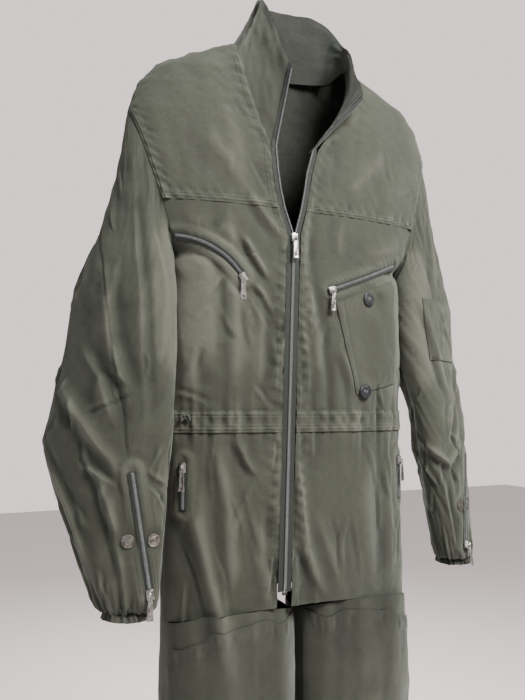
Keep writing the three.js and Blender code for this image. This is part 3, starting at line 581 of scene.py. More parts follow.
@dataclass
class Cloth:
    """A sheet of cloth: a grid of points on its outer face, with its thickness behind.

    Attributes:
        name: the piece's name.
        base: rows x columns x 3 points before wrinkles.
        relief: how far each point stands out, in metres.
        closed: whether the columns run all the way round.
        thickness: of the cloth.
        centre: a point that the faces point away from, for an open sheet.
    """

    name: str
    base: np.ndarray
    relief: np.ndarray
    closed: bool = False
    thickness: float = 0.0014
    centre: Optional[tuple] = None
    outer: np.ndarray = field(init=False)
    facing: np.ndarray = field(init=False)

    def __post_init__(self) -> None:
        """Works out which way the cloth faces and lifts its wrinkles."""
        self.facing = self.normals(self.base)
        self.outer = self.base + self.facing * self.relief[..., None]
        self.facing = self.normals(self.outer)

    def normals(self, grid: np.ndarray) -> np.ndarray:
        """Unit normals of a grid of points, away from the middle."""
        if self.closed:
            padded = np.concatenate([grid[:, -1:], grid, grid[:, :1]], axis=1)
            across = (padded[:, 2:] - padded[:, :-2])
        else:
            across = np.gradient(grid, axis=1)
        down = np.gradient(grid, axis=0)
        normal = np.cross(across, down)
        normal /= np.maximum(np.linalg.norm(normal, axis=2, keepdims=True), 1e-12)
        if self.centre is not None:
            middle = np.array(self.centre)
        elif self.closed:
            middle = grid.mean(axis=1, keepdims=True)
        else:
            middle = np.zeros_like(grid)
            middle[..., 2] = grid[..., 2]
        outwards = ((grid - middle) * normal).sum(axis=2)
        return normal if outwards.mean() > 0 else -normal

    def at(self, row: float, column: float) -> tuple:
        """Point and normal at a fractional place in the grid."""
        rows, columns = self.outer.shape[:2]
        row = min(max(row, 0.0), rows - 1.001)
        if self.closed:
            column %= columns
        else:
            column = min(max(column, 0.0), columns - 1.001)
        r, c = int(row), int(column)
        a, b = row - r, column - c
        d = (c + 1) % columns
        weights = ((r, c, (1 - a) * (1 - b)), (r, d, (1 - a) * b), (r + 1, c, a * (1 - b)), (r + 1, d, a * b))
        point = sum(self.outer[i, j] * w for i, j, w in weights)
        normal = sum(self.facing[i, j] * w for i, j, w in weights)
        return point, normal / np.linalg.norm(normal)

    def part(self, name: str, first: int, last: int) -> "Cloth":
        """A part of the sheet between two rows, with the same folds."""
        cut = slice(first, last + 1)
        found = Cloth(name, self.base[cut], self.relief[cut], self.closed, self.thickness, self.centre)
        found.outer = self.outer[cut]
        found.facing = self.facing[cut]
        return found

    @staticmethod
    def index_at(steps: np.ndarray, distance: float) -> float:
        """Index along a line of points at a distance from its start, or from its end if negative."""
        gone = np.concatenate([[0], np.cumsum(steps)])
        place = distance if distance >= 0 else gone[-1] + distance
        return float(np.interp(place, gone, np.arange(len(gone))))

    def along_row(self, distance: float, first: float = 0.0, last: float = 1.0) -> list:
        """Points and normals across the cloth, a distance from its top, or from its bottom if negative."""
        columns = self.outer.shape[1]
        row = self.index_at(np.linalg.norm(np.diff(self.base, axis=0), axis=2).mean(axis=1), distance)
        count = columns + 1 if self.closed else columns
        places = np.linspace(first, last, count) * (count - 1)
        return [self.at(row, place) for place in places]

    def along_column(self, distance: float, first: float = 0.0, last: float = 1.0) -> list:
        """Points and normals down the cloth, a distance in from its first column, or its last if negative."""
        rows = len(self.outer)
        found = []
        for row in np.linspace(first, last, rows) * (rows - 1):
            steps = np.linalg.norm(np.diff(self.base[int(row)], axis=0), axis=1)
            found.append(self.at(row, self.index_at(steps, distance)))
        return found

    def faces(self) -> list:
        """Corners of the outer faces, the inner faces and the rims, before they are turned outwards."""
        rows, columns = self.outer.shape[:2]
        half = rows * columns
        last = columns if self.closed else columns - 1
        found = []
        for r in range(rows - 1):
            for c in range(last):
                d = (c + 1) % columns
                a, b, e, f = r * columns + c, (r + 1) * columns + c, (r + 1) * columns + d, r * columns + d
                found.append((a, b, e, f))
                found.append((half + a, half + f, half + e, half + b))
        end = (rows - 1) * columns
        for c in range(last):
            d = (c + 1) % columns
            found.append((c, d, half + d, half + c))
            found.append((end + d, end + c, half + end + c, half + end + d))
        if not self.closed:
            for r in range(rows - 1):
                a, b = r * columns, (r + 1) * columns
                found.append((b, a, half + a, half + b))
                a, b = a + columns - 1, b + columns - 1
                found.append((a, b, half + b, half + a))
        return found

    def unrolled(self, mesh: bpy.types.Mesh) -> np.ndarray:
        """Place of each face corner on the cloth laid flat, in metres."""
        rows, columns = self.outer.shape[:2]
        steps_u = np.linalg.norm(np.diff(self.base, axis=1), axis=2)
        steps_v = np.linalg.norm(np.diff(self.base, axis=0), axis=2)
        lengths_u = np.concatenate([np.zeros((rows, 1)), np.cumsum(steps_u, axis=1)], axis=1)
        lengths_v = np.concatenate([np.zeros((1, columns)), np.cumsum(steps_v, axis=0)], axis=0)
        down = lengths_v.mean(axis=1, keepdims=True) + 0 * lengths_u
        surface = np.stack([lengths_u, down], axis=2).reshape(-1, 2)
        surface = np.concatenate([surface, surface])
        turns = np.zeros(len(mesh.loops), np.int32)
        mesh.loops.foreach_get("vertex_index", turns)
        uv = surface[turns]
        if self.closed:
            around = lengths_u[:, -1].mean()
            corner = uv[:, 0].reshape(-1, 4)
            wraps = (corner.max(axis=1) - corner.min(axis=1)) > around * 0.5
            corner[wraps] = np.where(corner[wraps] < around * 0.5, corner[wraps] + around, corner[wraps])
            uv[:, 0] = corner.ravel()
        return uv

    def build(self, finish: Finish, body: Optional[str], held: str = "hung",
              rests_on: Sequence[str] = ("collar",), unfaded_and_shaded_inside: bool = True) -> bpy.types.Object:
        """Args:
            finish: of the cloth.
            body: the body it rides on, or None for none.
            held: how the sheet is held; not used.
            rests_on: what it hangs from or lies on; not used.
            unfaded_and_shaded_inside: whether its back is the inner face: unfaded cloth, darkened further as
                painted shade.
        Returns:
            The object.
        """
        inner = self.outer - self.facing * self.thickness
        points = np.concatenate([self.outer.reshape(-1, 3), inner.reshape(-1, 3)])
        half = len(points) // 2
        faces = self.faces()
        a, b, e = (points[i] for i in faces[0][:3])
        if np.dot(np.cross(b - a, e - b), self.facing[0, 0]) < 0:
            faces = [tuple(reversed(face)) for face in faces]
        mesh = bpy.data.meshes.new(self.name)
        mesh.from_pydata(points.tolist(), [], faces)
        uv = self.unrolled(mesh)
        layer = mesh.uv_layers.new(name="surface")
        layer.data.foreach_set("uv", uv.astype(np.float32).ravel())
        # The fold heights, stored for the cloth material, which paints highlight on raised folds and shade in
        # their hollows.
        raised = np.concatenate([self.relief.ravel(), self.relief.ravel()]) / 0.006
        attribute = mesh.attributes.new("relief", "FLOAT", "POINT")
        attribute.data.foreach_set("value", np.clip(raised, -1, 1).astype(np.float32))
        mesh.update()
        made = finish_object(self.name, mesh, finish)
        normals = np.concatenate([self.facing.reshape(-1, 3), -self.facing.reshape(-1, 3)])
        mesh.polygons.foreach_set("use_smooth", [not min(face) < half <= max(face) for face in faces])
        mesh.normals_split_custom_set_from_vertices(normals.tolist())
        # Back faces get the inner-face material: unfaded cloth, darkened further as painted shade.
        if unfaded_and_shaded_inside:
            mesh.materials.append(UNFADED_AND_SHADED_INSIDE.surface())
            mesh.polygons.foreach_set("material_index", [int(min(face) >= half) for face in faces])
        widths = np.linalg.norm(np.diff(self.base, axis=1), axis=2).sum(axis=1)
        if self.closed:
            widths = widths + np.linalg.norm(self.base[:, -1] - self.base[:, 0], axis=1)
        if body:
            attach(made, body)
        return made


# ---- repeated small shapes -----------------------------------------------------------------------
class Maker:
    """Shapes modelled by hand tools: primitives that are extruded, inset, bevelled, cut and joined."""

    @staticmethod
    def clear() -> None:
        """Leaves nothing selected."""
        bpy.ops.object.select_all(action="DESELECT")

    @staticmethod
    def cube(size: tuple, place: tuple = (0, 0, 0)) -> bpy.types.Object:
        """Adds a block of a size at a place."""
        Maker.clear()
        bpy.ops.mesh.primitive_cube_add(size=1, location=place, scale=size)
        bpy.ops.object.transform_apply(location=True, rotation=True, scale=True)
        return bpy.context.object

    @staticmethod
    def disc(radius: float, height: float, sides: int = 40) -> bpy.types.Object:
        """Adds a disc that stands on the XY plane."""
        Maker.clear()
        middle = (0, 0, height / 2)
        bpy.ops.mesh.primitive_cylinder_add(vertices=sides, radius=radius, depth=height, location=middle)
        bpy.ops.object.transform_apply(location=True, rotation=True, scale=True)
        return bpy.context.object

    @staticmethod
    def pick(made: bpy.types.Object, test: Callable) -> None:
        """Enters edit mode with the faces selected whose centre and normal pass a test."""
        bpy.context.view_layer.objects.active = made
        bpy.ops.object.mode_set(mode="EDIT")
        bpy.ops.mesh.select_mode(type="FACE")
        bpy.ops.mesh.select_all(action="DESELECT")
        bpy.ops.object.mode_set(mode="OBJECT")
        for face in made.data.polygons:
            face.select = bool(test(face.center, face.normal))
        bpy.ops.object.mode_set(mode="EDIT")

    @staticmethod
    def leave() -> None:
        """Goes back to object mode."""
        bpy.ops.object.mode_set(mode="OBJECT")

    @staticmethod
    def step(made: bpy.types.Object, test: Callable, inset: float, rise: float) -> None:
        """Insets the faces that pass a test, then moves the inner faces along their normal by extruding."""
        Maker.pick(made, test)
        bpy.ops.mesh.inset(thickness=inset, depth=0)
        if rise:
            bpy.ops.mesh.extrude_region_move(TRANSFORM_OT_translate={"value": (0, 0, rise)})
        Maker.leave()

    @staticmethod
    def bevel(made: bpy.types.Object, width: float, segments: int = 2, angle: float = 30.0) -> None:
        """Rounds the sharp edges with a modifier and applies it."""
        Maker.clear()
        made.select_set(True)
        bpy.context.view_layer.objects.active = made
        modifier = made.modifiers.new("round", "BEVEL")
        modifier.width = width
        modifier.segments = segments
        modifier.angle_limit = math.radians(angle)
        bpy.ops.object.modifier_apply(modifier=modifier.name)

    @staticmethod
    def cut(made: bpy.types.Object, tool: bpy.types.Object) -> None:
        """Cuts one shape out of another and removes the tool."""
        Maker.clear()
        made.select_set(True)
        bpy.context.view_layer.objects.active = made
        modifier = made.modifiers.new("cut", "BOOLEAN")
        modifier.operation = "DIFFERENCE"
        modifier.object = tool
        modifier.solver = "EXACT"
        bpy.ops.object.modifier_apply(modifier=modifier.name)
        bpy.data.objects.remove(tool)

    @staticmethod
    def join(parts: Sequence[bpy.types.Object]) -> bpy.types.Object:
        """Joins shapes into the first one."""
        Maker.clear()
        for one in parts:
            one.select_set(True)
        bpy.context.view_layer.objects.active = parts[0]
        bpy.ops.object.join()
        return parts[0]

    @staticmethod
    def dress(made: bpy.types.Object, name: str, finish: Finish, place: Matrix) -> bpy.types.Object:
        """Puts a shape in its place, names it and gives it its finish."""
        made.data.transform(place)
        made.data.materials.clear()
        made.data.materials.append(finish.surface())
        made.name = name
        made.data.name = name
        Maker.clear()
        made.select_set(True)
        bpy.context.view_layer.objects.active = made
        bpy.ops.object.shade_smooth_by_angle(angle=math.radians(35))
        return made


def frame_at(along: Sequence[float], normal: Sequence[float], place: Sequence[float]) -> Matrix:
    """A frame with Z out of the cloth and Y along a direction."""
    z = Vector(normal).normalized()
    y = Vector(along)
    y = (y - z * y.dot(z)).normalized()
    x = y.cross(z)
    made = Matrix((x, y, z)).transposed().to_4x4()
    made.translation = Vector(place)
    return made


@dataclass
class Run:
    """Copies of one small shape along a path on the cloth.

    Attributes:
        name: the piece's name.
        finish: of the shapes.
        pitch: distance between two shapes.
    """

    name: str
    finish: Finish
    pitch: float
    points: list = field(default_factory=list)
    faces: list = field(default_factory=list)

    def lay(self, shape: tuple, path: Sequence[tuple], lift: float = 0.0, shift: float = 0.0) -> None:
        """Lays shapes along a path.

        Args:
            shape: vertices and faces; Y runs along the path and Z out of the cloth.
            path: points with their normals.
            lift: height over the cloth.
            shift: sideways shift of every second shape, to both sides in turn.
        """
        if len(path) < 2:
            return
        vertices, faces = shape
        places = np.array([p for p, _ in path])
        normals = np.array([n for _, n in path])
        steps = np.linalg.norm(np.diff(places, axis=0), axis=1)
        gone = np.concatenate([[0], np.cumsum(steps)])
        count = int(gone[-1] / self.pitch)
        for i in range(count):
            distance = (i + 0.5) * self.pitch
            place = np.array([np.interp(distance, gone, places[:, k]) for k in range(3)])
            ahead = np.array([np.interp(distance + self.pitch * 0.3, gone, places[:, k]) for k in range(3)])
            back = np.array([np.interp(distance - self.pitch * 0.3, gone, places[:, k]) for k in range(3)])
            normal = np.array([np.interp(distance, gone, normals[:, k]) for k in range(3)])
            along = ahead - back
            if np.linalg.norm(along) < 1e-9:
                continue
            along /= np.linalg.norm(along)
            normal -= along * normal.dot(along)
            normal /= max(np.linalg.norm(normal), 1e-9)
            across = np.cross(along, normal)
            sway = shift if i % 2 else -shift
            start = len(self.points)
            turned = vertices @ np.array([across, along, normal]) + place + normal * lift + across * sway
            self.points.extend(turned.tolist())
            self.faces.extend([tuple(start + v for v in face) for face in faces])

    def build(self, body: Optional[str]) -> Optional[bpy.types.Object]:
        """Makes the mesh of all the shapes."""
        if not self.points:
            return None
        mesh = bpy.data.meshes.new(self.name)
        mesh.from_pydata(self.points, [], self.faces)
        layer = mesh.uv_layers.new(name="surface")
        flat = np.array(self.points)[:, [0, 2]]
        turns = np.zeros(len(mesh.loops), np.int32)
        mesh.loops.foreach_get("vertex_index", turns)
        layer.data.foreach_set("uv", flat[turns].astype(np.float32).ravel())
        made = finish_object(self.name, mesh, self.finish)
        if body:
            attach(made, body)
        log.info("%s: %d faces", self.name, len(self.faces))
        return made


def shape_of(made: bpy.types.Object) -> tuple:
    """Takes a modelled shape's vertices and faces, and removes the object."""
    vertices = np.array([v.co for v in made.data.vertices])
    faces = [tuple(face.vertices) for face in made.data.polygons]
    bpy.data.objects.remove(made)
    return vertices, faces


def stitch_shape(length: float = 0.0026, width: float = 0.00095) -> tuple:
    """A short thread stitch, round on top, with its ends drawn down into the cloth."""
    Maker.clear()
    along_y = (math.pi / 2, 0, 0)
    bpy.ops.mesh.primitive_cylinder_add(vertices=6, radius=width / 2, depth=length, rotation=along_y)
    bpy.ops.object.transform_apply(rotation=True)
    made = bpy.context.object
    Maker.pick(made, lambda centre, normal: abs(normal.y) > 0.9)
    bpy.ops.mesh.inset(thickness=width * 0.22)
    Maker.leave()
    for vertex in made.data.vertices:
        vertex.co.z -= width * 0.5 * (abs(vertex.co.y) / (length / 2)) ** 4
    return shape_of(made)


def tooth_shape(width: float, length: float, height: float) -> tuple:
    """One turn of a zip's nylon coil: a block across the zip with round ends."""
    made = Maker.cube((width, length, height), (0, 0, height / 2))
    Maker.bevel(made, min(length, height) * 0.3, 1)
    return shape_of(made)


# ---- the body of the garment ---------------------------------------------------------------------
@dataclass
class BodyShape:
    """The flattened tube of the body, as a table of heights in millimetres.

    Attributes:
        table: z, half width, front depth, back depth.
        power: roundness of the section.
    """

    table: tuple = (
        (22, 99, 32, 44), (-31, 205, 41, 46), (-60, 228, 45, 48), (-103, 243, 50, 50), (-160, 240, 54, 51),
        (-228, 228, 56, 52), (-276, 202, 56, 52), (-302, 172, 56, 52), (-400, 178, 56, 52),
        (-510, 183, 56, 48), (-620, 187, 56, 58), (-790, 187, 56, 58),
    )
    power: float = 2.4

    def read(self, z: np.ndarray, column: int) -> np.ndarray:
        """Reads a column of the table at heights in metres."""
        rows = np.array(self.table[::-1]) * MM
        return np.interp(z, rows[:, 0], rows[:, column])

    def point(self, t: np.ndarray, z: np.ndarray, lift: float = 0.0) -> np.ndarray:
        """Points at angles t, 0 at the left side and a quarter turn at the back."""
        a = self.read(z, 1) + lift
        b = np.where(np.sin(t) < 0, self.read(z, 2), self.read(z, 3)) + lift
        power = 2 / self.power
        x = a * np.sign(np.cos(t)) * np.abs(np.cos(t)) ** power
        y = b * np.sign(np.sin(t)) * np.abs(np.sin(t)) ** power
        return np.stack([x, y, z + 0 * x], axis=-1)

    def angle(self, x: np.ndarray, z: np.ndarray, front: bool) -> np.ndarray:
        """The angle at which the surface has the given x."""
        ratio = np.minimum(np.abs(x) / self.read(z, 1), 1)
        t = np.arccos(np.sign(x) * ratio ** (self.power / 2))
        return 2 * math.pi - t if front else t

    def front(self, x: float, z: float, lift: float = 0.0) -> np.ndarray:
        """A point on the front at x and z."""
        x, z = np.asarray(x, float), np.asarray(z, float)
        return self.point(self.angle(x, z, True), z, lift)


@dataclass
class Pattern:
    """Where the body's seams and edges run, in metres."""

    shape: BodyShape = field(default_factory=BodyShape)
    tape: float = 9 * MM
    seam: float = 0.6 * MM
    armhole_top: tuple = (0.243, -0.103)
    armhole_low: float = -0.298
    slope: float = 65 / 195
    zip_top: tuple = (-0.017, -0.262)
    zip_end: tuple = (-0.033, -0.752)
    collar_foot: float = -0.135
    right_edge: tuple = ((-262, -17.8), (-228, -30), (-200, -36), (-171, -40), (-135, -42))
    left_edge: tuple = ((-262, -16.2), (-228, -7), (-200, -1), (-171, 4), (-135, 15))
    neck_edge: tuple = ((-112, 62, 40), (-70, 76, 70), (-31, 86, 86), (22, 93, 93))

    def armhole(self, z: np.ndarray) -> np.ndarray:
        """X of the armhole at a height."""
        return self.armhole_top[0] - (self.armhole_top[1] - z) * self.slope

    def coil_edge(self, side: Side, z: np.ndarray) -> np.ndarray:
        """X of the main zip's edge on one side."""
        z = np.asarray(z, float)
        share = (z - self.zip_top[1]) / (self.zip_end[1] - self.zip_top[1])
        closed = self.zip_top[0] + (self.zip_end[0] - self.zip_top[0]) * share + side.value * 0.7 * MM
        table = np.array(self.right_edge if side is Side.RIGHT else self.left_edge) * MM
        return np.where(z <= self.zip_top[1], closed, np.interp(z, table[:, 0], table[:, 1]))

    def front_edge(self, side: Side, z: np.ndarray) -> np.ndarray:
        """X of a front panel's inner edge: beside the zip, then round the neck."""
        z = np.asarray(z, float)
        low = self.coil_edge(side, z) + side.value * (self.tape + self.seam)
        foot = side.value * float(self.coil_edge(side, self.collar_foot)) + self.tape + self.seam
        column = 1 if side is Side.RIGHT else 2
        heights = [self.collar_foot, *[row[0] * MM for row in self.neck_edge]]
        reach = [foot, *[row[column] * MM for row in self.neck_edge]]
        return np.where(z <= self.collar_foot, low, side.value * np.interp(z, heights, reach))

    def outer_angle(self, side: Side, z: np.ndarray, front: bool) -> np.ndarray:
        """Angle of a panel's outer edge: the side seam, or the armhole where there is one."""
        z = np.asarray(z, float)
        limit = np.where((z > self.armhole_top[1]) | (z < self.armhole_low), 9.0, self.armhole(z))
        at_left = 2 * math.pi if front else 0.0
        free = at_left if side is Side.LEFT else math.pi
        inside = self.shape.angle(side.value * np.minimum(limit, self.shape.read(z, 1)), z, front)
        return np.where(limit >= self.shape.read(z, 1), free, inside)


class Edge(Enum):
    """How a panel ends at a seam."""

    OVER = "over"
    UNDER = "under"
    PLAIN = "plain"


FRONT_FOLDS = (
    Fold(((-95, -268), (-75, -303), (-52, -336)), 5.5, 7.0, 1.0, 1),
    Fold(((-84, -330), (-64, -352), (-46, -384)), 5.0, 5.5, 0.9, 1),
    Fold(((-90, -205), (-66, -235), (-34, -275)), 9.0, 5.0, 0.9, 1),
    Fold(((-116, -215), (-110, -300), (-103, -400), (-104, -506)), 12.0, 7.0, 0.8, 1),
    Fold(((-70, -330), (-66, -420), (-72, -500)), 11.0, 4.5, 0.8, -1),
    Fold(((-52, -395), (-44, -450), (-50, -505)), 7.0, 4.0, 0.8, 1),
    Fold(((-172, -330), (-168, -400), (-160, -500)), 14.0, 4.5, 0.6, 1),
    Fold(((-150, -425), (-146, -490)), 12.0, -5.0, 0.3, 1),
    Fold(((-182, -484), (-158, -492), (-134, -504)), 3.5, 3.0, 0.8, -1),
    Fold(((-2, -300), (16, -396), (30, -506)), 9.0, 5.5, 0.8, -1),
    Fold(((-6, -380), (2, -440), (4, -500)), 6.0, 4.0, 0.8, 1),
    Fold(((58, -420), (74, -460), (86, -500)), 8.0, 4.5, 0.9, 1),
    Fold(((8, -215), (0, -270), (0, -330)), 8.0, 4.0, 0.7, -1),
    Fold(((64, -232), (56, -262), (58, -300)), 9.0, 3.0, 0.7, 1),
    Fold(((-178, -530), (-158, -640), (-128, -760), (-112, -860)), 13.0, 9.0, 0.7, 1),
    Fold(((-134, -536), (-112, -640), (-106, -780)), 12.0, 6.5, 0.7, 1),
    Fold(((-100, -548), (-88, -578), (-72, -600)), 6.0, 6.0, 0.9, 1),
    Fold(((-78, -640), (-60, -700), (-52, -790)), 10.0, 5.0, 0.8, -1),
    Fold(((-62, -690), (-52, -730), (-48, -780)), 8.0, -5.5, 0.5, 1),
    Fold(((-16, -560), (0, -700), (26, -790)), 9.0, 7.0, 0.9, 1),
    Fold(((-14, -700), (6, -740), (24, -775)), 7.0, -5.0, 0.6, -1),
    Fold(((10, -640), (34, -700), (58, -768)), 9.0, 3.5, 0.7, 1),
    Fold(((112, -545), (104, -640), (110, -760)), 16.0, 4.5, 0.6, -1),
    Fold(((150, -548), (146, -640), (150, -760)), 15.0, 4.0, 0.6, 1),
    Fold(((-150, -120), (-120, -160), (-84, -215)), 16.0, 3.0, 0.6, 1),
    Fold(((150, -110), (118, -150), (60, -205)), 16.0, 3.0, 0.6, -1),
    Fold(((200, -250), (168, -300), (150, -340)), 10.0, 3.5, 0.8, 1),
    Fold(((-200, -250), (-176, -300), (-160, -340)), 10.0, 3.5, 0.8, -1),
)
FRONT_CREASES = (
    *creases(101, (-170, -20, -500, -240), 18, (30, 90), (-35, 35), 3.2),
    *creases(102, (0, 170, -500, -340), 12, (25, 70), (-30, 30), 2.6),
    *creases(103, (-170, -20, -790, -545), 18, (40, 120), (-20, 25), 3.4),
    *creases(104, (0, 170, -790, -545), 12, (40, 120), (-20, 20), 2.8),
    *creases(105, (-200, 200, -215, -60), 14, (30, 80), (-60, 60), 1.5),
)
BACK_CREASES = creases(106, (-190, 190, -790, -100), 34, (40, 110), (-30, 30), 2.6)
BACK_FOLDS = (
    Fold(((-110, -200), (-100, -330), (-96, -500)), 14.0, 5.0, 0.7, 1),
    Fold(((104, -205), (96, -340), (100, -500)), 14.0, 5.0, 0.7, -1),
    Fold(((-40, -300), (-34, -400), (-44, -505)), 12.0, 4.0, 0.7, -1),
    Fold(((44, -290), (52, -400), (40, -505)), 12.0, 4.0, 0.7, 1),
    Fold(((-130, -545), (-110, -650), (-90, -790)), 14.0, 5.0, 0.7, 1),
    Fold(((130, -545), (112, -650), (96, -790)), 14.0, 5.0, 0.7, -1),
    Fold(((-50, -560), (-30, -680), (-20, -790)), 10.0, 4.5, 0.8, 1),
    Fold(((50, -560), (34, -680), (18, -790)), 10.0, 4.5, 0.8, -1),
    Fold(((-205, -150), (-150, -185), (-90, -260)), 12.0, 3.5, 0.8, 1),
    Fold(((205, -150), (150, -185), (90, -260)), 12.0, 3.5, 0.8, -1),
)


@dataclass
class BodyRelief:
    """Folds, gathers and soft waves of the body, the same for all of its panels."""

    waist_top: float
    waist_low: float
    gather: Ripples = field(default_factory=lambda: Ripples(7, 0.034, 0.011, 7))
    waves: Ripples = field(default_factory=lambda: Ripples(3, 0.15, 0.035, 12))
    crumple: Ripples = field(default_factory=lambda: Ripples(11, 0.05, 0.014, 14))

    def at(self, points: np.ndarray) -> np.ndarray:
        """Height of the cloth over the plain body at points of it."""
        x, y, z = points[..., 0], points[..., 1], points[..., 2]
        front = smooth_step((-y + 0.012) / 0.024)
        total = np.zeros(x.shape)
        for share, folds in ((front, FRONT_FOLDS), (1 - front, BACK_FOLDS)):
            for one in folds:
                total += 0.72 * share * one.relief(x, z)
        for share, folds in ((front, FRONT_CREASES), (1 - front, BACK_CREASES)):
            for one in folds:
                total += share * one.relief(x, z)
        total += front * Seam(((-184, -483), (-158, -492), (-134, -504)), 5.0, 1).relief(x, z)
        round_about = x + np.where(y > 0, 0.7, 0.0)
        total += 0.0012 * self.waves.at(round_about * 1.4, z * 0.7)
        total += 0.0005 * self.crumple.at(round_about * 1.1, z * 0.8)
        away = np.maximum(z - self.waist_top, 0) + np.maximum(self.waist_low - z, 0)
        strength = np.where(x < -0.02, 1.0, 0.72)
        drawn = np.exp(-((away / 0.030) ** 1.2))
        total += 0.0034 * strength * drawn * self.gather.at(round_about, 0.12 * z)
        full = smooth_step((np.abs(x) - 0.09) / 0.07) * np.exp(-(((z + 0.370) / 0.100) ** 4))
        total += full * np.where(x > 0, 0.011, 0.008)
        collar = np.exp(-((np.hypot(x * 0.8, z + 0.02) - 0.09) / 0.05) ** 2)
        total += 0.0012 * collar * self.crumple.at(round_about, z)
        arm = 0.243 - (-0.103 - z) / 3
        near = np.clip((arm - np.abs(x)) / 0.030, 0, 1)
        inside = (z < -0.09) & (z > -0.30)
        return total * np.where(inside, 0.15 + 0.85 * near, 1.0)


def graded(length: float, pitch: float, first: bool, last: bool) -> np.ndarray:
    """Shares along a length, closer together near an end that has a seam."""
    fine = np.array([0.0, 0.9, 1.7, 2.4, 3.1, 3.9, 5.1, 6.3, 7.0, 7.6, 8.3, 9.2, 10.6, 12.4]) * MM
    low = fine if first else np.array([0.0])
    high = length - (fine[::-1] if last else np.array([0.0]))
    count = max(int((high[0] - low[-1]) / pitch), 2)
    middle = np.linspace(low[-1], high[0], count + 1)[1:-1]
    return np.concatenate([low, middle, high]) / length


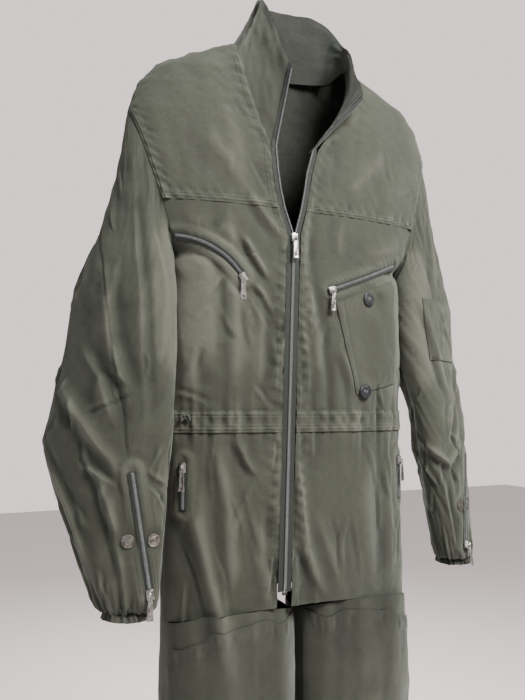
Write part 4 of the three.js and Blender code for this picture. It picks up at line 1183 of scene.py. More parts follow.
@dataclass
class Torso:
    """The body's ten panels with their seams."""

    pattern: Pattern
    relief: BodyRelief
    yoke_z: float
    back_yoke_z: float
    waist: tuple
    calm: list = field(default_factory=list)
    pitch: float = 0.0030
    panels: dict = field(default_factory=dict)

    def panel(self, name: str, top: float, low: float, start: Callable, end: Callable, edges: dict,
              hips: bool = False, lift: float = 0.0, pitch: Optional[float] = None) -> Cloth:
        """Makes a panel between two heights and two edges.

        Args:
            name: the node that the panel stands for.
            top: height of its upper edge.
            low: height of its lower edge.
            start: angle of its first column at each height.
            end: angle of its last column.
            edges: Edge of top, low, start and end.
            hips: whether its lower edge is the round hip seam.
            lift: how far it stands over its neighbours.
            pitch: size of a face.
        Returns:
            The cloth.
        """
        pitch = pitch or self.pitch
        seamed = {key: edges.get(key, Edge.PLAIN) is Edge.OVER for key in ("top", "low", "start", "end")}
        middle = np.array([(top + low) / 2])
        turn = np.linspace(float(start(middle)[0]), float(end(middle)[0]), 60)
        width = np.linalg.norm(np.diff(self.pattern.shape.point(turn, middle[0]), axis=0), axis=1).sum()
        down_shares = graded(top - low, pitch, seamed["top"], seamed["low"])
        heights = (top + (low - top) * down_shares)[:, None]
        share = graded(float(width), pitch, seamed["start"], seamed["end"])[None, :]
        angles = start(heights) + (end(heights) - start(heights)) * share
        z = heights + 0 * share
        if hips:
            y = self.pattern.shape.point(angles, z)[..., 1]
            pivot, radius = -0.655, 0.1295
            bottom = pivot - np.sqrt(np.maximum(radius ** 2 - y ** 2, 1e-8))
            z = top + (bottom - top) * ((heights - top) / (low - top))
            angles = start(z) + (end(z) - start(z)) * share
        base = self.pattern.shape.point(angles, z)
        down = (heights - heights[0]) * -1 + 0 * share
        up = down[-1:] - down
        steps = np.linalg.norm(np.diff(base, axis=1), axis=2)
        across = np.concatenate([np.zeros((len(heights), 1)), np.cumsum(steps, axis=1)], axis=1)
        back = across[:, -1:] - across
        relief = self.relief.at(base) + lift
        sideways = base[..., 0] + np.where(base[..., 1] > 0, 0.7, 0.0)
        upright = base[..., 2]
        for key, distance, along in (("top", down, sideways), ("low", up, sideways),
                                     ("start", across, upright), ("end", back, upright)):
            relief = relief + self.seam_relief(edges.get(key, Edge.PLAIN), distance, along)
        facing = Cloth(name, base, np.zeros(relief.shape)).facing
        for one in self.calm:
            relief = one.apply(base, relief, facing)
        cloth = Cloth(name, base, relief)
        self.panels[name] = cloth
        return cloth

    def seam_relief(self, edge: Edge, distance: np.ndarray, along: np.ndarray) -> np.ndarray:
        """Height that a seam adds near a panel's edge: a doubled band with stitch grooves, or a tucked edge.

        Args:
            edge: how the panel ends there.
            distance: of each point from the edge.
            along: place of each point along the edge.
        Returns:
            The heights.
        """
        if edge is Edge.PLAIN:
            return np.zeros(distance.shape)
        if edge is Edge.UNDER:
            return -0.0012 * (1 - smooth_step(distance / 0.008))
        band = 0.0014 * (1 - smooth_step((distance - 0.0082) / 0.0035))
        lip = -0.0008 * (1 - smooth_step(distance / 0.0020))
        pucker = 0.0013 * np.exp(-((distance - 0.008) / 0.011) ** 2)
        pucker = pucker * self.relief.gather.at(along * 1.7, distance)
        grooves = sum(-0.0009 * np.exp(-((distance - d) / 0.0013) ** 2) for d in (0.0024, 0.0076))
        return band + lip + pucker + grooves

    def build(self) -> None:
        """Makes every panel."""
        pattern = self.pattern
        neck = float(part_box("back_yoke")[1].z)
        waist_top, waist_low = self.waist
        hip_low = float(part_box("hip_panel_right")[0].z)
        over, under = 0.0008, 0.006
        for side in (Side.RIGHT, Side.LEFT):
            start = lambda z, s=side: pattern.shape.angle(pattern.front_edge(s, z), z, True)
            end = lambda z, s=side: pattern.outer_angle(s, z, True)
            self.panel(f"yoke_{side.label}", neck, self.yoke_z - over, start, end,
                       {"low": Edge.OVER, "start": Edge.OVER, "end": Edge.OVER})
            self.panel(f"chest_panel_{side.label}", self.yoke_z + under, waist_top - 0.002, start, end,
                       {"top": Edge.UNDER, "start": Edge.OVER})
            self.panel(f"hip_panel_{side.label}", waist_low + 0.002, hip_low, start, end,
                       {"start": Edge.OVER}, hips=True)
        start = lambda z: pattern.outer_angle(Side.LEFT, z, False)
        end = lambda z: pattern.outer_angle(Side.RIGHT, z, False)
        self.panel("back_yoke", neck, self.back_yoke_z - over, start, end, {"low": Edge.OVER}, pitch=0.005)
        self.panel("back_panel", self.back_yoke_z + under, waist_top - 0.002, start, end,
                   {"top": Edge.UNDER}, pitch=0.005)
        self.panel("seat_panel", waist_low + 0.002, hip_low, start, end, {}, hips=True, pitch=0.005)
        start = lambda z: pattern.shape.angle(pattern.front_edge(Side.LEFT, z), z, True) - 2 * math.pi
        end = lambda z: pattern.shape.angle(pattern.front_edge(Side.RIGHT, z), z, True)
        self.panel("waistband", waist_top, waist_low, start, end,
                   {"top": Edge.OVER, "low": Edge.OVER}, lift=0.0012, pitch=0.0026)
        for name, cloth in self.panels.items():
            made = cloth.build(OLIVE, "suit")
            made.name = f"{name}_cloth"
            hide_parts(name)

    def on_front(self, x: float, z: float, lift: float = 0.0) -> tuple:
        """The outermost point of the front cloth at x and z, with its normal."""
        names = [n for n in self.panels if not n.startswith(("back", "seat"))]
        best = None
        for name in names:
            grid = self.panels[name].outer
            flat = np.hypot(grid[..., 0] - x, grid[..., 2] - z) + np.where(grid[..., 1] > 0.0, 1.0, 0.0)
            index = np.unravel_index(flat.argmin(), flat.shape)
            if flat[index] < 0.006 and (best is None or grid[index][1] < best[0][1]):
                best = (grid[index].copy(), self.panels[name].facing[index].copy())
        if best is None:
            point = self.pattern.shape.front(x, z)
            best = (point, np.array([0.0, -1.0, 0.0]))
        point, normal = best
        point = np.array([x, point[1], z]) + normal * lift
        return point, normal


@dataclass
class Collar:
    """The stand-up collar: a doubled band whose front corners lean open.

    Attributes:
        columns: upper edge in millimetres, and a height on the front neckline or an x along the back.
    """

    pattern: Pattern
    columns: tuple = (
        ((-27, -74, -28), -134, None), ((-38, -62, 4), -112, None), ((-44, -46, 50), -70, None),
        ((-48, -22, 92), -31, None), ((-48, -8, 102), -6, None), ((-46, 6, 108), 19, None),
        ((-30, 34, 118), None, -88), ((0, 46, 124), None, -50), ((35, 50, 128), None, 0),
        ((68, 50, 130), None, 50), ((96, 40, 114), None, 88), ((101, 3, 68), 19, None),
        ((91, -28, 44), -6, None), ((88, -44, 22), -31, None), ((92, -50, -6), -70, None),
        ((94, -62, -30), -112, None), ((90, -72, -52), -134, None),
    )
    inset: float = 2.2 * MM

    def foot(self, index: int) -> np.ndarray:
        """Foot of a column on the neckline."""
        _, front_z, back_x = self.columns[index]
        shape = self.pattern.shape
        if back_x is not None:
            z = np.asarray(22 * MM)
            return shape.point(shape.angle(back_x * MM, z, False), z, -self.inset)
        side = Side.RIGHT if index < len(self.columns) / 2 else Side.LEFT
        z = front_z * MM
        if self.pattern.collar_foot < z < -0.120:
            x = float(self.pattern.coil_edge(side, self.pattern.collar_foot))
            point = shape.front(x, self.pattern.collar_foot)
            return np.array([x, point[1], z])
        x = float(self.pattern.front_edge(side, z)) - side.value * self.inset
        return shape.front(x, z)

    def point(self, column: float, share: float) -> np.ndarray:
        """A point of the collar, by a smooth curve through the columns."""
        last = len(self.columns) - 1
        low = int(min(max(math.floor(column), 0), last - 1))
        t = column - low
        knots = []
        for k in range(low - 1, low + 3):
            i = min(max(k, 0), last)
            top = np.array(self.columns[i][0]) * MM
            knots.append(self.foot(i) * (1 - share) + top * share)
        a, b, c, d = knots
        return 0.5 * (2 * b + (c - a) * t + (2 * a - 5 * b + 4 * c - d) * t * t
                      + (3 * b - a - 3 * c + d) * t ** 3)

    def build(self) -> Cloth:
        """Makes the collar with its rolled edge, creases and topstitch grooves."""
        rows, count = 34, 190
        last = len(self.columns) - 1
        trim = 0.42
        places = np.linspace(trim, last - trim, count)
        base = np.array([[self.point(c, 1.0 - 1.15 * r / rows) for c in places] for r in range(rows + 1)])
        down = np.linspace(0, 1, rows + 1)[:, None]
        along = places[None, :]
        ripples = Ripples(21, 0.06, 0.016, 9)
        relief = 0.0012 * ripples.at(along * 0.024, down * 0.11)
        relief += 0.0028 * np.exp(-((along - 3.3 - down * 1.2) / 0.28) ** 2) * smooth_step((1 - down) / 0.4)
        relief -= 0.0022 * np.exp(-((along - 4.1 - down * 0.9) / 0.25) ** 2)
        relief += 0.0009 * (1 - smooth_step((down - 0.07) / 0.03))
        relief -= 0.0004 * np.exp(-((down - 0.065) / 0.012) ** 2)
        cloth = Cloth("collar", base, relief, thickness=0.0030, centre=(0.03, 0.0, 0.0))
        made = cloth.build(OLIVE_DARK, "suit")
        made.name = "collar_cloth"
        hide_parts("collar")
        return cloth


# ---- sleeves and legs ----------------------------------------------------------------------------
@dataclass
class Sleeve:
    """One sleeve: upper sleeve, forearm and gathered cuff.

    Attributes:
        rings: z, centre x, centre y, half widths and turn in degrees of each section.
    """

    side: Side
    pattern: Pattern
    calm: list = field(default_factory=list)
    rings: tuple = (
        (-340, 244, 2, 62, 40, 34), (-431, 251, 0, 76, 38, 40), (-520, 261, -8, 88, 36, 40),
        (-582, 263, -10, 84, 35, 40), (-738, 246, -42, 44, 28, 40), (-748, 245, -44, 27, 24, 40),
        (-762, 244, -46, 31, 27, 40),
    )
    elbow: int = 2
    columns: int = 220
    upper: Cloth = field(init=False)
    forearm: Cloth = field(init=False)
    cuff: Cloth = field(init=False)

    @property
    def body(self) -> str:
        """The body that the sleeve rides on."""
        return f"sleeve_{self.side.label}_body"

    @property
    def creases(self) -> tuple:
        """Short creases: few on the upper arm, many round the elbow and above the cuff."""
        seed = 140 + self.side.value
        return (
            *creases(seed, (0, 360, -460, -160), 16, (30, 90), (-25, 25), 2.4),
            *creases(seed + 10, (0, 360, -620, -430), 30, (25, 70), (-60, 60), 4.2),
            *creases(seed + 20, (0, 360, -730, -600), 22, (25, 70), (-25, 25), 3.6),
        )

    @property
    def extra(self) -> tuple:
        """Rise, sway and the zip's angles at its top and end."""
        return (0, 0, 55, 22) if self.side is Side.RIGHT else (24, 14, 90, 50)

    def centre(self, index: int) -> np.ndarray:
        """Centre of a section."""
        rise, sway = self.extra[:2]
        ring = self.rings[index]
        elbow = self.rings[self.elbow][0]
        below = max((elbow - ring[0]) / (elbow - self.rings[-1][0]), 0)
        return np.array([self.side.value * (ring[1] + sway * below), ring[2], ring[0] + rise * below]) * MM

    def ring(self, index: int, u: np.ndarray) -> np.ndarray:
        """Points of a section at angles u, 0 at the front and a quarter turn outwards."""
        ring = self.rings[index]
        turn = math.radians(ring[5])
        front = np.array([-self.side.value * math.cos(turn), -math.sin(turn), 0])
        out = np.array([self.side.value * math.sin(turn), -math.cos(turn), 0])
        return (self.centre(index) + ring[3] * MM * np.cos(u)[..., None] * front
                + ring[4] * MM * np.sin(u)[..., None] * out)

    def head(self, u: np.ndarray, tuck: float = 0.0) -> np.ndarray:
        """Points of the armhole, moved into the body by `tuck`."""
        top, low = self.pattern.armhole_top[1], self.pattern.armhole_low
        z = (top + low) / 2 + ((top - low) / 2 - tuck * 0.2) * np.sin(u)
        x = self.pattern.armhole(z)
        reach = np.maximum(self.pattern.shape.read(z, 1), x)
        front = np.cos(u) > 0
        depth = np.where(front, self.pattern.shape.read(z, 2), self.pattern.shape.read(z, 3))
        power = self.pattern.shape.power
        depth = depth * np.maximum(1 - (x / reach) ** power, 0) ** (1 / power)
        depth = np.maximum(depth, 0.006) - tuck * 0.25
        y = -np.tanh(np.cos(u) * 6) * depth
        return np.stack([self.side.value * (x - tuck), y, z], axis=-1)

    def loft(self, knots: list, spans: Sequence[int]) -> np.ndarray:
        """Rows of points by smooth curves through rings of points."""
        rows = []
        last = len(knots) - 1
        for low, span in enumerate(spans):
            a, b, c, d = (knots[min(max(k, 0), last)] for k in range(low - 1, low + 3))
            for i in range(span + (1 if low == last - 1 else 0)):
                t = i / span
                rows.append(0.5 * (2 * b + (c - a) * t + (2 * a - 5 * b + 4 * c - d) * t * t
                                   + (3 * b - a - 3 * c + d) * t ** 3))
        return np.array(rows)

    def folds(self) -> tuple:
        """Folds by angle in degrees (across) and millimetres of height."""
        if self.side is Side.RIGHT:
            return (
                Fold(((62, -190), (60, -300), (50, -420), (44, -560)), 7, 4.0, 0.9, 1),
                Fold(((100, -330), (84, -420), (60, -500)), 9, 6.0, 0.8, 1),
                Fold(((140, -470), (100, -530), (58, -600)), 8, 5.5, 0.8, -1),
                Fold(((120, -420), (90, -470), (70, -540)), 7, 5.0, 0.8, 1),
                Fold(((30, -250), (22, -360), (28, -470)), 7, 4.0, 0.8, 1),
                Fold(((150, -560), (130, -640), (120, -720)), 8, 5.0, 0.8, 1),
                Fold(((90, -570), (76, -650), (70, -725)), 7, 6.0, 0.9, -1),
                Fold(((10, -540), (8, -620), (20, -720)), 7, 4.0, 0.8, 1),
                Fold(((240, -330), (250, -450), (240, -600)), 10, 5.0, 0.8, 1),
                Fold(((300, -350), (310, -480), (300, -640)), 10, 5.0, 0.8, -1),
            )
        return (
            Fold(((20, -330), (40, -420), (64, -500)), 8, 5.0, 0.8, 1),
            Fold(((80, -440), (64, -500), (40, -560)), 7, 6.0, 0.9, -1),
            Fold(((-10, -560), (40, -590), (84, -560)), 8, 7.0, 1.0, 1),
            Fold(((110, -420), (100, -500), (96, -600)), 8, 5.0, 0.8, 1),
            Fold(((64, -590), (58, -650), (52, -710)), 7, 5.0, 0.9, 1),
            Fold(((20, -600), (24, -660), (30, -715)), 7, 5.0, 0.9, -1),
            Fold(((60, -180), (62, -260), (56, -340)), 8, 3.5, 0.8, 1),
            Fold(((240, -330), (250, -450), (240, -600)), 10, 5.0, 0.8, 1),
            Fold(((300, -350), (310, -480), (300, -640)), 10, 5.0, 0.8, -1),
        )

    def seams(self) -> tuple:
        """The outer seam down to the zip and the elbow seam, by degrees round and millimetres of height."""
        rise, _, top, _ = self.extra
        low = self.rings[4][0] + rise
        if self.side is Side.RIGHT:
            outer = ((96, -110), (140, -165), (150, -211), (105, -319), (87, -393), (75, -459), (65, -520),
                     (top + 3, -572))
        else:
            outer = ((66, -118), (40, -200), (44, -300), (70, -450), (top - 4, -552))
        back = ((176, -500 + rise), (168, -640 + rise), (158, low + 3))
        return outer, back

    def on(self, u: float, z: float) -> tuple:
        """The sleeve's outer face at an angle in degrees and a height in metres."""
        cloth = self.upper if z > (self.rings[self.elbow][0] + self.extra[0]) * MM else self.forearm
        column = u / 360 * self.columns
        heights = cloth.base[:, int(column) % self.columns, 2]
        row = float(np.interp(-z, -heights, np.arange(len(heights))))
        return cloth.at(row, column)

    def seam_line(self, path: tuple, shift: float) -> list:
        """Points and normals along a seam, shifted sideways by some degrees."""
        points = np.array(path, float)
        places = np.linspace(0, len(points) - 1, 60)
        found = []
        for place in places:
            u = float(np.interp(place, range(len(points)), points[:, 0]))
            z = float(np.interp(place, range(len(points)), points[:, 1])) * MM
            found.append(self.on(u + shift, z))
        return found

    def wrinkles(self, base: np.ndarray) -> np.ndarray:
        """Relief of a part of the sleeve."""
        u = np.linspace(0, 360, base.shape[1], endpoint=False)[None, :]
        z = base[..., 2]
        total = np.zeros(z.shape)
        for one in (*self.folds(), *self.creases):
            for wrap in (-360, 0, 360):
                total += 0.8 * one.relief((u + wrap) * MM + 0 * z, z)
        for one in self.seams():
            total += Seam(one, 6.0).relief(u * MM + 0 * z, z)
        inner = np.exp(-((((u + 180) % 360 - 180 + 25) / 62.0) ** 4)) * np.exp(-(((z + 0.370) / 0.098) ** 4))
        total += inner * (0.012 if self.side is Side.LEFT else 0.009)
        seed = 31 + self.side.value
        ring = np.radians(u)
        waves = Ripples(seed, 0.12, 0.03, 10)
        total += 0.0015 * waves.at(0.09 * np.cos(ring) + 0 * z, z * 0.8 + 0.09 * np.sin(ring))
        fine = Ripples(seed + 5, 0.04, 0.013, 10)
        total += 0.0006 * fine.at(0.09 * np.cos(ring) + 0 * z, z + 0.09 * np.sin(ring))
        low = (self.rings[4][0] + self.extra[0]) * MM
        gather = 0.5 * np.sin(ring * 17 + 1.3 * np.sin(ring * 3))
        gather = gather + 0.5 * np.sin(ring * 26 + 2 * np.sin(ring * 2))
        total += 0.0026 * gather * np.exp(-np.maximum(z - low, 0) / 0.018) * np.where(z < low, 0.8, 1.0)
        facing = Cloth("plain", base, np.zeros(total.shape), closed=True).facing
        for one in self.calm:
            total = one.apply(base, total, facing)
        return total

    def shoulder(self) -> tuple:
        """The start and end of the stretch in which the cloth bends when the sleeve is lifted."""
        reach = 0.08
        start = (self.side.value * 0.2436, 0.0, -0.1028)
        end = (start[0] + self.side.value * 0.949 * reach, 0.0, start[2] - 0.316 * reach)
        return start, end

    def build(self) -> None:
        """Makes the three parts of the sleeve."""
        label = self.side.label
        u = np.radians(np.linspace(0, 360, self.columns, endpoint=False))
        head = self.head(u)
        tucked = self.head(u, 0.006)
        rings = [self.ring(i, u) for i in range(len(self.rings))]
        spans = (3, 20, 24, 28, 26, 20, 48, 5, 6)
        base = self.loft([tucked, head, head * 0.6 + rings[0] * 0.4, *rings], spans)
        settled = np.concatenate([np.zeros(3), smooth_step(np.arange(len(base) - 3) / 14)])
        relief = self.wrinkles(base) * settled[:, None]
        relief[:3] -= 0.0030
        relief[3:6] -= np.array([0.0018, 0.0009, 0.0003])[:, None]
        whole = Cloth(f"whole_sleeve_{label}", base, relief, closed=True)
        elbow, wrist = sum(spans[:5]), sum(spans[:7])
        self.upper = whole.part(f"sleeve_{label}", 0, elbow)
        self.forearm = whole.part(f"forearm_{label}", elbow, wrist)
        self.cuff = whole.part(f"cuff_{label}", wrist, sum(spans))
        for cloth, finish in ((self.upper, OLIVE), (self.forearm, OLIVE), (self.cuff, OLIVE_DARK)):
            name = cloth.name
            made = cloth.build(finish, None if cloth is self.upper else self.body)
            made.name = f"{name}_cloth"
            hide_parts(name)
            if cloth is self.upper:
                self.body
                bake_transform(made)

    def zip_line(self, share: float, angle: float) -> tuple:
        """A point of the forearm at a share of its length and degrees from the zip, with its normal."""
        top, end = (math.radians(a) for a in self.extra[2:])
        turn = top + (end - top) * share + math.radians(angle)
        rows = self.forearm.outer.shape[0]
        row = 20 + share * (rows - 21)
        return self.forearm.at(row, (turn / math.tau * self.columns) % self.columns)


@dataclass
class Leg:
    """One trouser leg with its hem band and knee patch."""

    side: Side
    pivot: float = -0.655
    radius: float = 0.1305
    table: tuple = ((-740, 94, 90.5, 55), (-900, 94, 90, 56), (-1200, 92, 84, 50), (-1498, 91, 77, 44),
                    (-1540, 91, 75, 43))
    power: float = 3.0
    pieces: dict = field(default_factory=dict)

    @property
    def body(self) -> str:
        """The body that the leg rides on."""
        return f"leg_{self.side.label}_body"

    def point(self, t: np.ndarray, z: np.ndarray, lift: float = 0.0) -> np.ndarray:
        """Points of the leg at angles t."""
        rows = np.array(self.table[::-1]) * MM
        centre, a, b = (np.interp(z, rows[:, 0], rows[:, k]) for k in (1, 2, 3))
        power = 2 / self.power
        x = (a + lift) * np.sign(np.cos(t)) * np.abs(np.cos(t)) ** power
        y = (b + lift) * np.sign(np.sin(t)) * np.abs(np.sin(t)) ** power
        return np.stack([self.side.value * centre + x, y, z + 0 * x], axis=-1)

    def wrinkles(self, base: np.ndarray) -> np.ndarray:
        """Long soft folds down the leg."""
        x, y, z = base[..., 0], base[..., 1], base[..., 2]
        front = smooth_step((-y + 0.012) / 0.024)
        total = np.zeros(x.shape)
        for one in FRONT_FOLDS[14:24]:
            total += front * one.relief(x, z)
        waves = Ripples(51 + self.side.value, 0.16, 0.04, 11)
        total += 0.0024 * waves.at(x * 1.6 + np.where(y > 0, 0.5, 0), z * 0.35)
        fine = Ripples(61 + self.side.value, 0.06, 0.015, 12)
        total += 0.0007 * fine.at(x * 1.1 + y, z * 0.8)
        knee = np.exp(-((z + 1.02) / 0.10) ** 2)
        total += 0.0022 * knee * Ripples(71, 0.09, 0.03, 7).at(x * 0.5, z * 1.5)
        ankle = np.exp(-((z + 1.50) / 0.07) ** 2)
        total += 0.0024 * ankle * Ripples(73, 0.07, 0.025, 7).at(x * 0.6, z * 1.8)
        return total

    def build(self) -> None:
        """Makes the leg, its hem band and its knee patch."""
        label = self.side.label
        hem_top = float(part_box(f"hem_band_{label}")[1].z)
        hem_low = float(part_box(f"hem_band_{label}")[0].z)
        t = np.linspace(0, math.tau, 120, endpoint=False)
        rows = 130
        share = np.linspace(0, 1, rows)[:, None]
        y = self.point(t, np.full(t.shape, -0.76))[:, 1]
        start = self.pivot - np.sqrt(self.radius ** 2 - y ** 2)
        z = start[None, :] + (hem_top - 0.002 - start[None, :]) * share
        base = self.point(t[None, :] + 0 * z, z)
        relief = self.wrinkles(base)
        relief -= 0.0006 * (1 - smooth_step((start[None, :] - z) / 0.006))
        self.add(Cloth(f"leg_{label}", base, relief, closed=True), OLIVE, None)
        z = np.linspace(hem_top + 0.004, hem_low, 16)[:, None]
        base = self.point(t[None, :] + 0 * z, z + 0 * t[None, :])
        down = (hem_top - z)
        relief = self.wrinkles(base) + 0.0014 - 0.0005 * np.exp(-((down - 0.006) / 0.0015) ** 2)
        self.add(Cloth(f"hem_band_{label}", base, relief, closed=True), OLIVE_DARK, self.body)
        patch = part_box(f"knee_patch_{label}")
        arc = np.linspace(math.tau * 18 / 32, math.tau * 30 / 32, 70)[None, :]
        top, low = float(patch[1].z) + 0.010, float(patch[0].z)
        share = np.linspace(0, 1, 120)[:, None]
        x = np.cos(arc) * self.side.value
        crest = top - 0.020 * smooth_step((x - 0.25) / 0.25) - 0.004 * np.sin(x * 9)
        z = crest + (low - crest) * share
        base = self.point(arc + 0 * z, z, 0.0012)
        relief = self.wrinkles(base)
        down, up = crest - z, z - low
        edge = np.minimum(down, up)
        relief = relief + 0.0008 - 0.0006 * (1 - smooth_step(edge / 0.002))
        for groove in (0.0025, 0.020):
            relief -= 0.0006 * np.exp(-((down - groove) / 0.0014) ** 2)
        band = np.exp(-((down - 0.011) / 0.008) ** 2)
        relief += 0.0011 * band * Ripples(81, 0.02, 0.007, 6).at(base[..., 0] * 1.6, down * 0.2)
        self.add(Cloth(f"knee_patch_{label}", base, relief, centre=(self.side.value * 0.094, 0.0, -1.0)),
                 OLIVE_DARK, None)

    def add(self, cloth: Cloth, finish: Finish, body: Optional[str]) -> None:
        """Builds a piece of the leg, and bakes its place into the mesh if it rides on no body."""
        name = cloth.name
        made = cloth.build(finish, body)
        made.name = f"{name}_cloth"
        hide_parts(name)
        if body is None:
            self.body
            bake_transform(made)
        self.pieces[name] = cloth


# ---- zips ----------------------------------------------------------------------------------------
def ribbon(name: str, path: Sequence[tuple], width: float, thickness: float) -> Cloth:
    """A tape along a path of points with normals."""
    places = np.array([p for p, _ in path])
    normals = np.array([n for _, n in path])
    along = np.gradient(places, axis=0)
    across = np.cross(normals, along)
    across /= np.linalg.norm(across, axis=1, keepdims=True)
    shares = np.linspace(-0.5, 0.5, 7)
    base = places[:, None] + across[:, None] * (shares * width)[None, :, None]
    middle = places.mean(axis=0) - normals.mean(axis=0) * 0.2
    return Cloth(name, base, np.zeros(base.shape[:2]), thickness=thickness, centre=tuple(middle))


def resample(path: Sequence[tuple], step: float) -> list:
    """A path of points and normals with even steps."""
    places = np.array([p for p, _ in path])
    normals = np.array([n for _, n in path])
    gone = np.concatenate([[0], np.cumsum(np.linalg.norm(np.diff(places, axis=0), axis=1))])
    count = max(int(gone[-1] / step), 2)
    found = []
    for distance in np.linspace(0, gone[-1], count + 1):
        place = np.array([np.interp(distance, gone, places[:, k]) for k in range(3)])
        normal = np.array([np.interp(distance, gone, normals[:, k]) for k in range(3)])
        found.append((place, normal / np.linalg.norm(normal)))
    return found


@dataclass
class Hardware:
    """A slider with its bail, link and pull, placed by its joints.

    Attributes:
        name: the zip's name.
        width: of the slider.
        length: of the slider.
        tab: length of the pull.
    """

    name: str
    width: float = 0.0092
    length: float = 0.0120
    tab: float = 0.0300
    seat: float = 0.00595

    def joint(self, suffix: str) -> dict:
        """The joint with a suffix."""
        return next(j for j in frame["joints"] if j["name"] == f"{self.name}_{suffix}")

    def frames(self) -> tuple:
        """Frames of the slider on the cloth and of the pull at its pivot."""
        swing, slide = self.joint("pull_swing"), self.joint("slide")
        pivot, axis = Vector(swing["pos_m"]), Vector(swing["axis"]).normalized()
        low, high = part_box(f"{self.name}_pull")
        hang = ((low + high) / 2 - pivot)
        hang = (hang - axis * hang.dot(axis)).normalized()
        normal = axis.cross(hang).normalized()
        if normal.dot(pivot - Vector((pivot.x, 0.0, pivot.z))) < 0 and abs(normal.y) > 0.3:
            normal = -normal
        if slide["type"] == "slide":
            along = Vector(slide["axis"])
        else:
            along = Vector(slide["axis"]).cross(pivot - Vector(slide["pos_m"]))
        if self.name.startswith(("chest", "sleeve")):
            along = -along
        return frame_at(along, normal, pivot - normal * self.seat), frame_at(-hang, normal, pivot)

    def slider(self) -> bpy.types.Object:
        """The slider: a waisted plate over two flanges, with its bail."""
        plate = Maker.cube((self.width, self.length, 0.0017), (0, 0, 0.0029))
        for vertex in plate.data.vertices:
            if vertex.co.y < 0:
                vertex.co.x *= 0.78
        Maker.step(plate, lambda c, n: n.z > 0.9, 0.0016, 0.0005)
        flange = (0.0011, self.length * 0.84, 0.0022)
        flanges = [Maker.cube(flange, (sign * (self.width / 2 - 0.0006), 0, 0.0014)) for sign in (-1, 1)]
        Maker.clear()
        bpy.ops.mesh.primitive_torus_add(major_radius=0.0030, minor_radius=0.00075,
                                         major_segments=28, minor_segments=10,
                                         rotation=(0, math.pi / 2, 0), location=(0, 0, 0.0040))
        bail = bpy.context.object
        bpy.ops.object.transform_apply(location=True, rotation=True, scale=True)
        Maker.pick(bail, lambda c, n: True)
        bpy.ops.mesh.bisect(plane_co=(0, 0, 0.0036), plane_no=(0, 0, 1), clear_inner=True, use_fill=True)
        Maker.leave()
        for one in (plate, *flanges):
            Maker.bevel(one, 0.00035, 2)
        return Maker.join([plate, *flanges, bail])

    def pull(self) -> bpy.types.Object:
        """The pull: a ring link and a tab with a sunk panel and a hole."""
        Maker.clear()
        bpy.ops.mesh.primitive_torus_add(major_radius=0.0026, minor_radius=0.0006, major_segments=28,
                                         minor_segments=8, location=(0, -0.0022, 0))
        link = bpy.context.object
        bpy.ops.object.transform_apply(location=True)
        for vertex in link.data.vertices:
            vertex.co.y = (vertex.co.y + 0.0022) * 1.35 - 0.0030
        body = self.tab - 0.0062
        tab = Maker.cube((0.0086, body, 0.0016), (0, -0.0062 - body / 2, 0))
        for vertex in tab.data.vertices:
            if vertex.co.y > -0.0070:
                vertex.co.x *= 0.62
        Maker.step(tab, lambda c, n: n.z > 0.9, 0.0013, -0.0004)
        for y in (-0.0060, -self.tab + 0.0042):
            Maker.clear()
            place = (0, y - 0.0012, 0)
            bpy.ops.mesh.primitive_cylinder_add(vertices=20, radius=0.0013, depth=0.01, location=place)
            if y < -0.01:
                bpy.context.object.location.y = y
            bpy.ops.object.transform_apply(location=True)
            Maker.cut(tab, bpy.context.object)
        Maker.bevel(tab, 0.0004, 2, 40)
        return Maker.join([tab, link])

    def build(self) -> None:
        """Makes the slider and the pull and puts them on their bodies."""
        seat, hang = self.frames()
        made = Maker.dress(self.slider(), f"{self.name}_slider_metal", NICKEL, seat)
        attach(made, f"{self.name}_slider")
        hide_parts(f"{self.name}_slider")
        made = Maker.dress(self.pull(), f"{self.name}_pull_metal", NICKEL, hang)
        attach(made, f"{self.name}_pull")
        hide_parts(f"{self.name}_pull")
        log.info("%s: slider and pull", self.name)


def zip_path(name: str) -> list:
    """The middle line of a zip's outer face, with its normals."""
    slide = next(j for j in frame["joints"] if j["name"] == f"{name}_slide")
    seat, _ = Hardware(name).frames()
    normal = Vector(seat.col[2][:3])
    start = Vector(seat.translation)
    if slide["type"] == "slide":
        along = Vector(slide["axis"])
        corners = np.array([v.co for v in frame["nodes"][name].data.vertices])
        shadow = (corners - np.array(start)) @ np.array(along)
        places = np.linspace(shadow.min(), shadow.max(), 50)
        return [(np.array(start + along * float(p)), np.array(normal)) for p in places]
    centre, axis = Vector(slide["pos_m"]), Vector(slide["axis"])
    limit = math.radians(slide["range_deg"][1]) / 0.93
    found = []
    for angle in np.linspace(0, limit, 50):
        turn = Matrix.Rotation(angle, 3, axis)
        found.append((np.array(centre + turn @ (start - centre)), np.array(turn @ normal)))
    return found


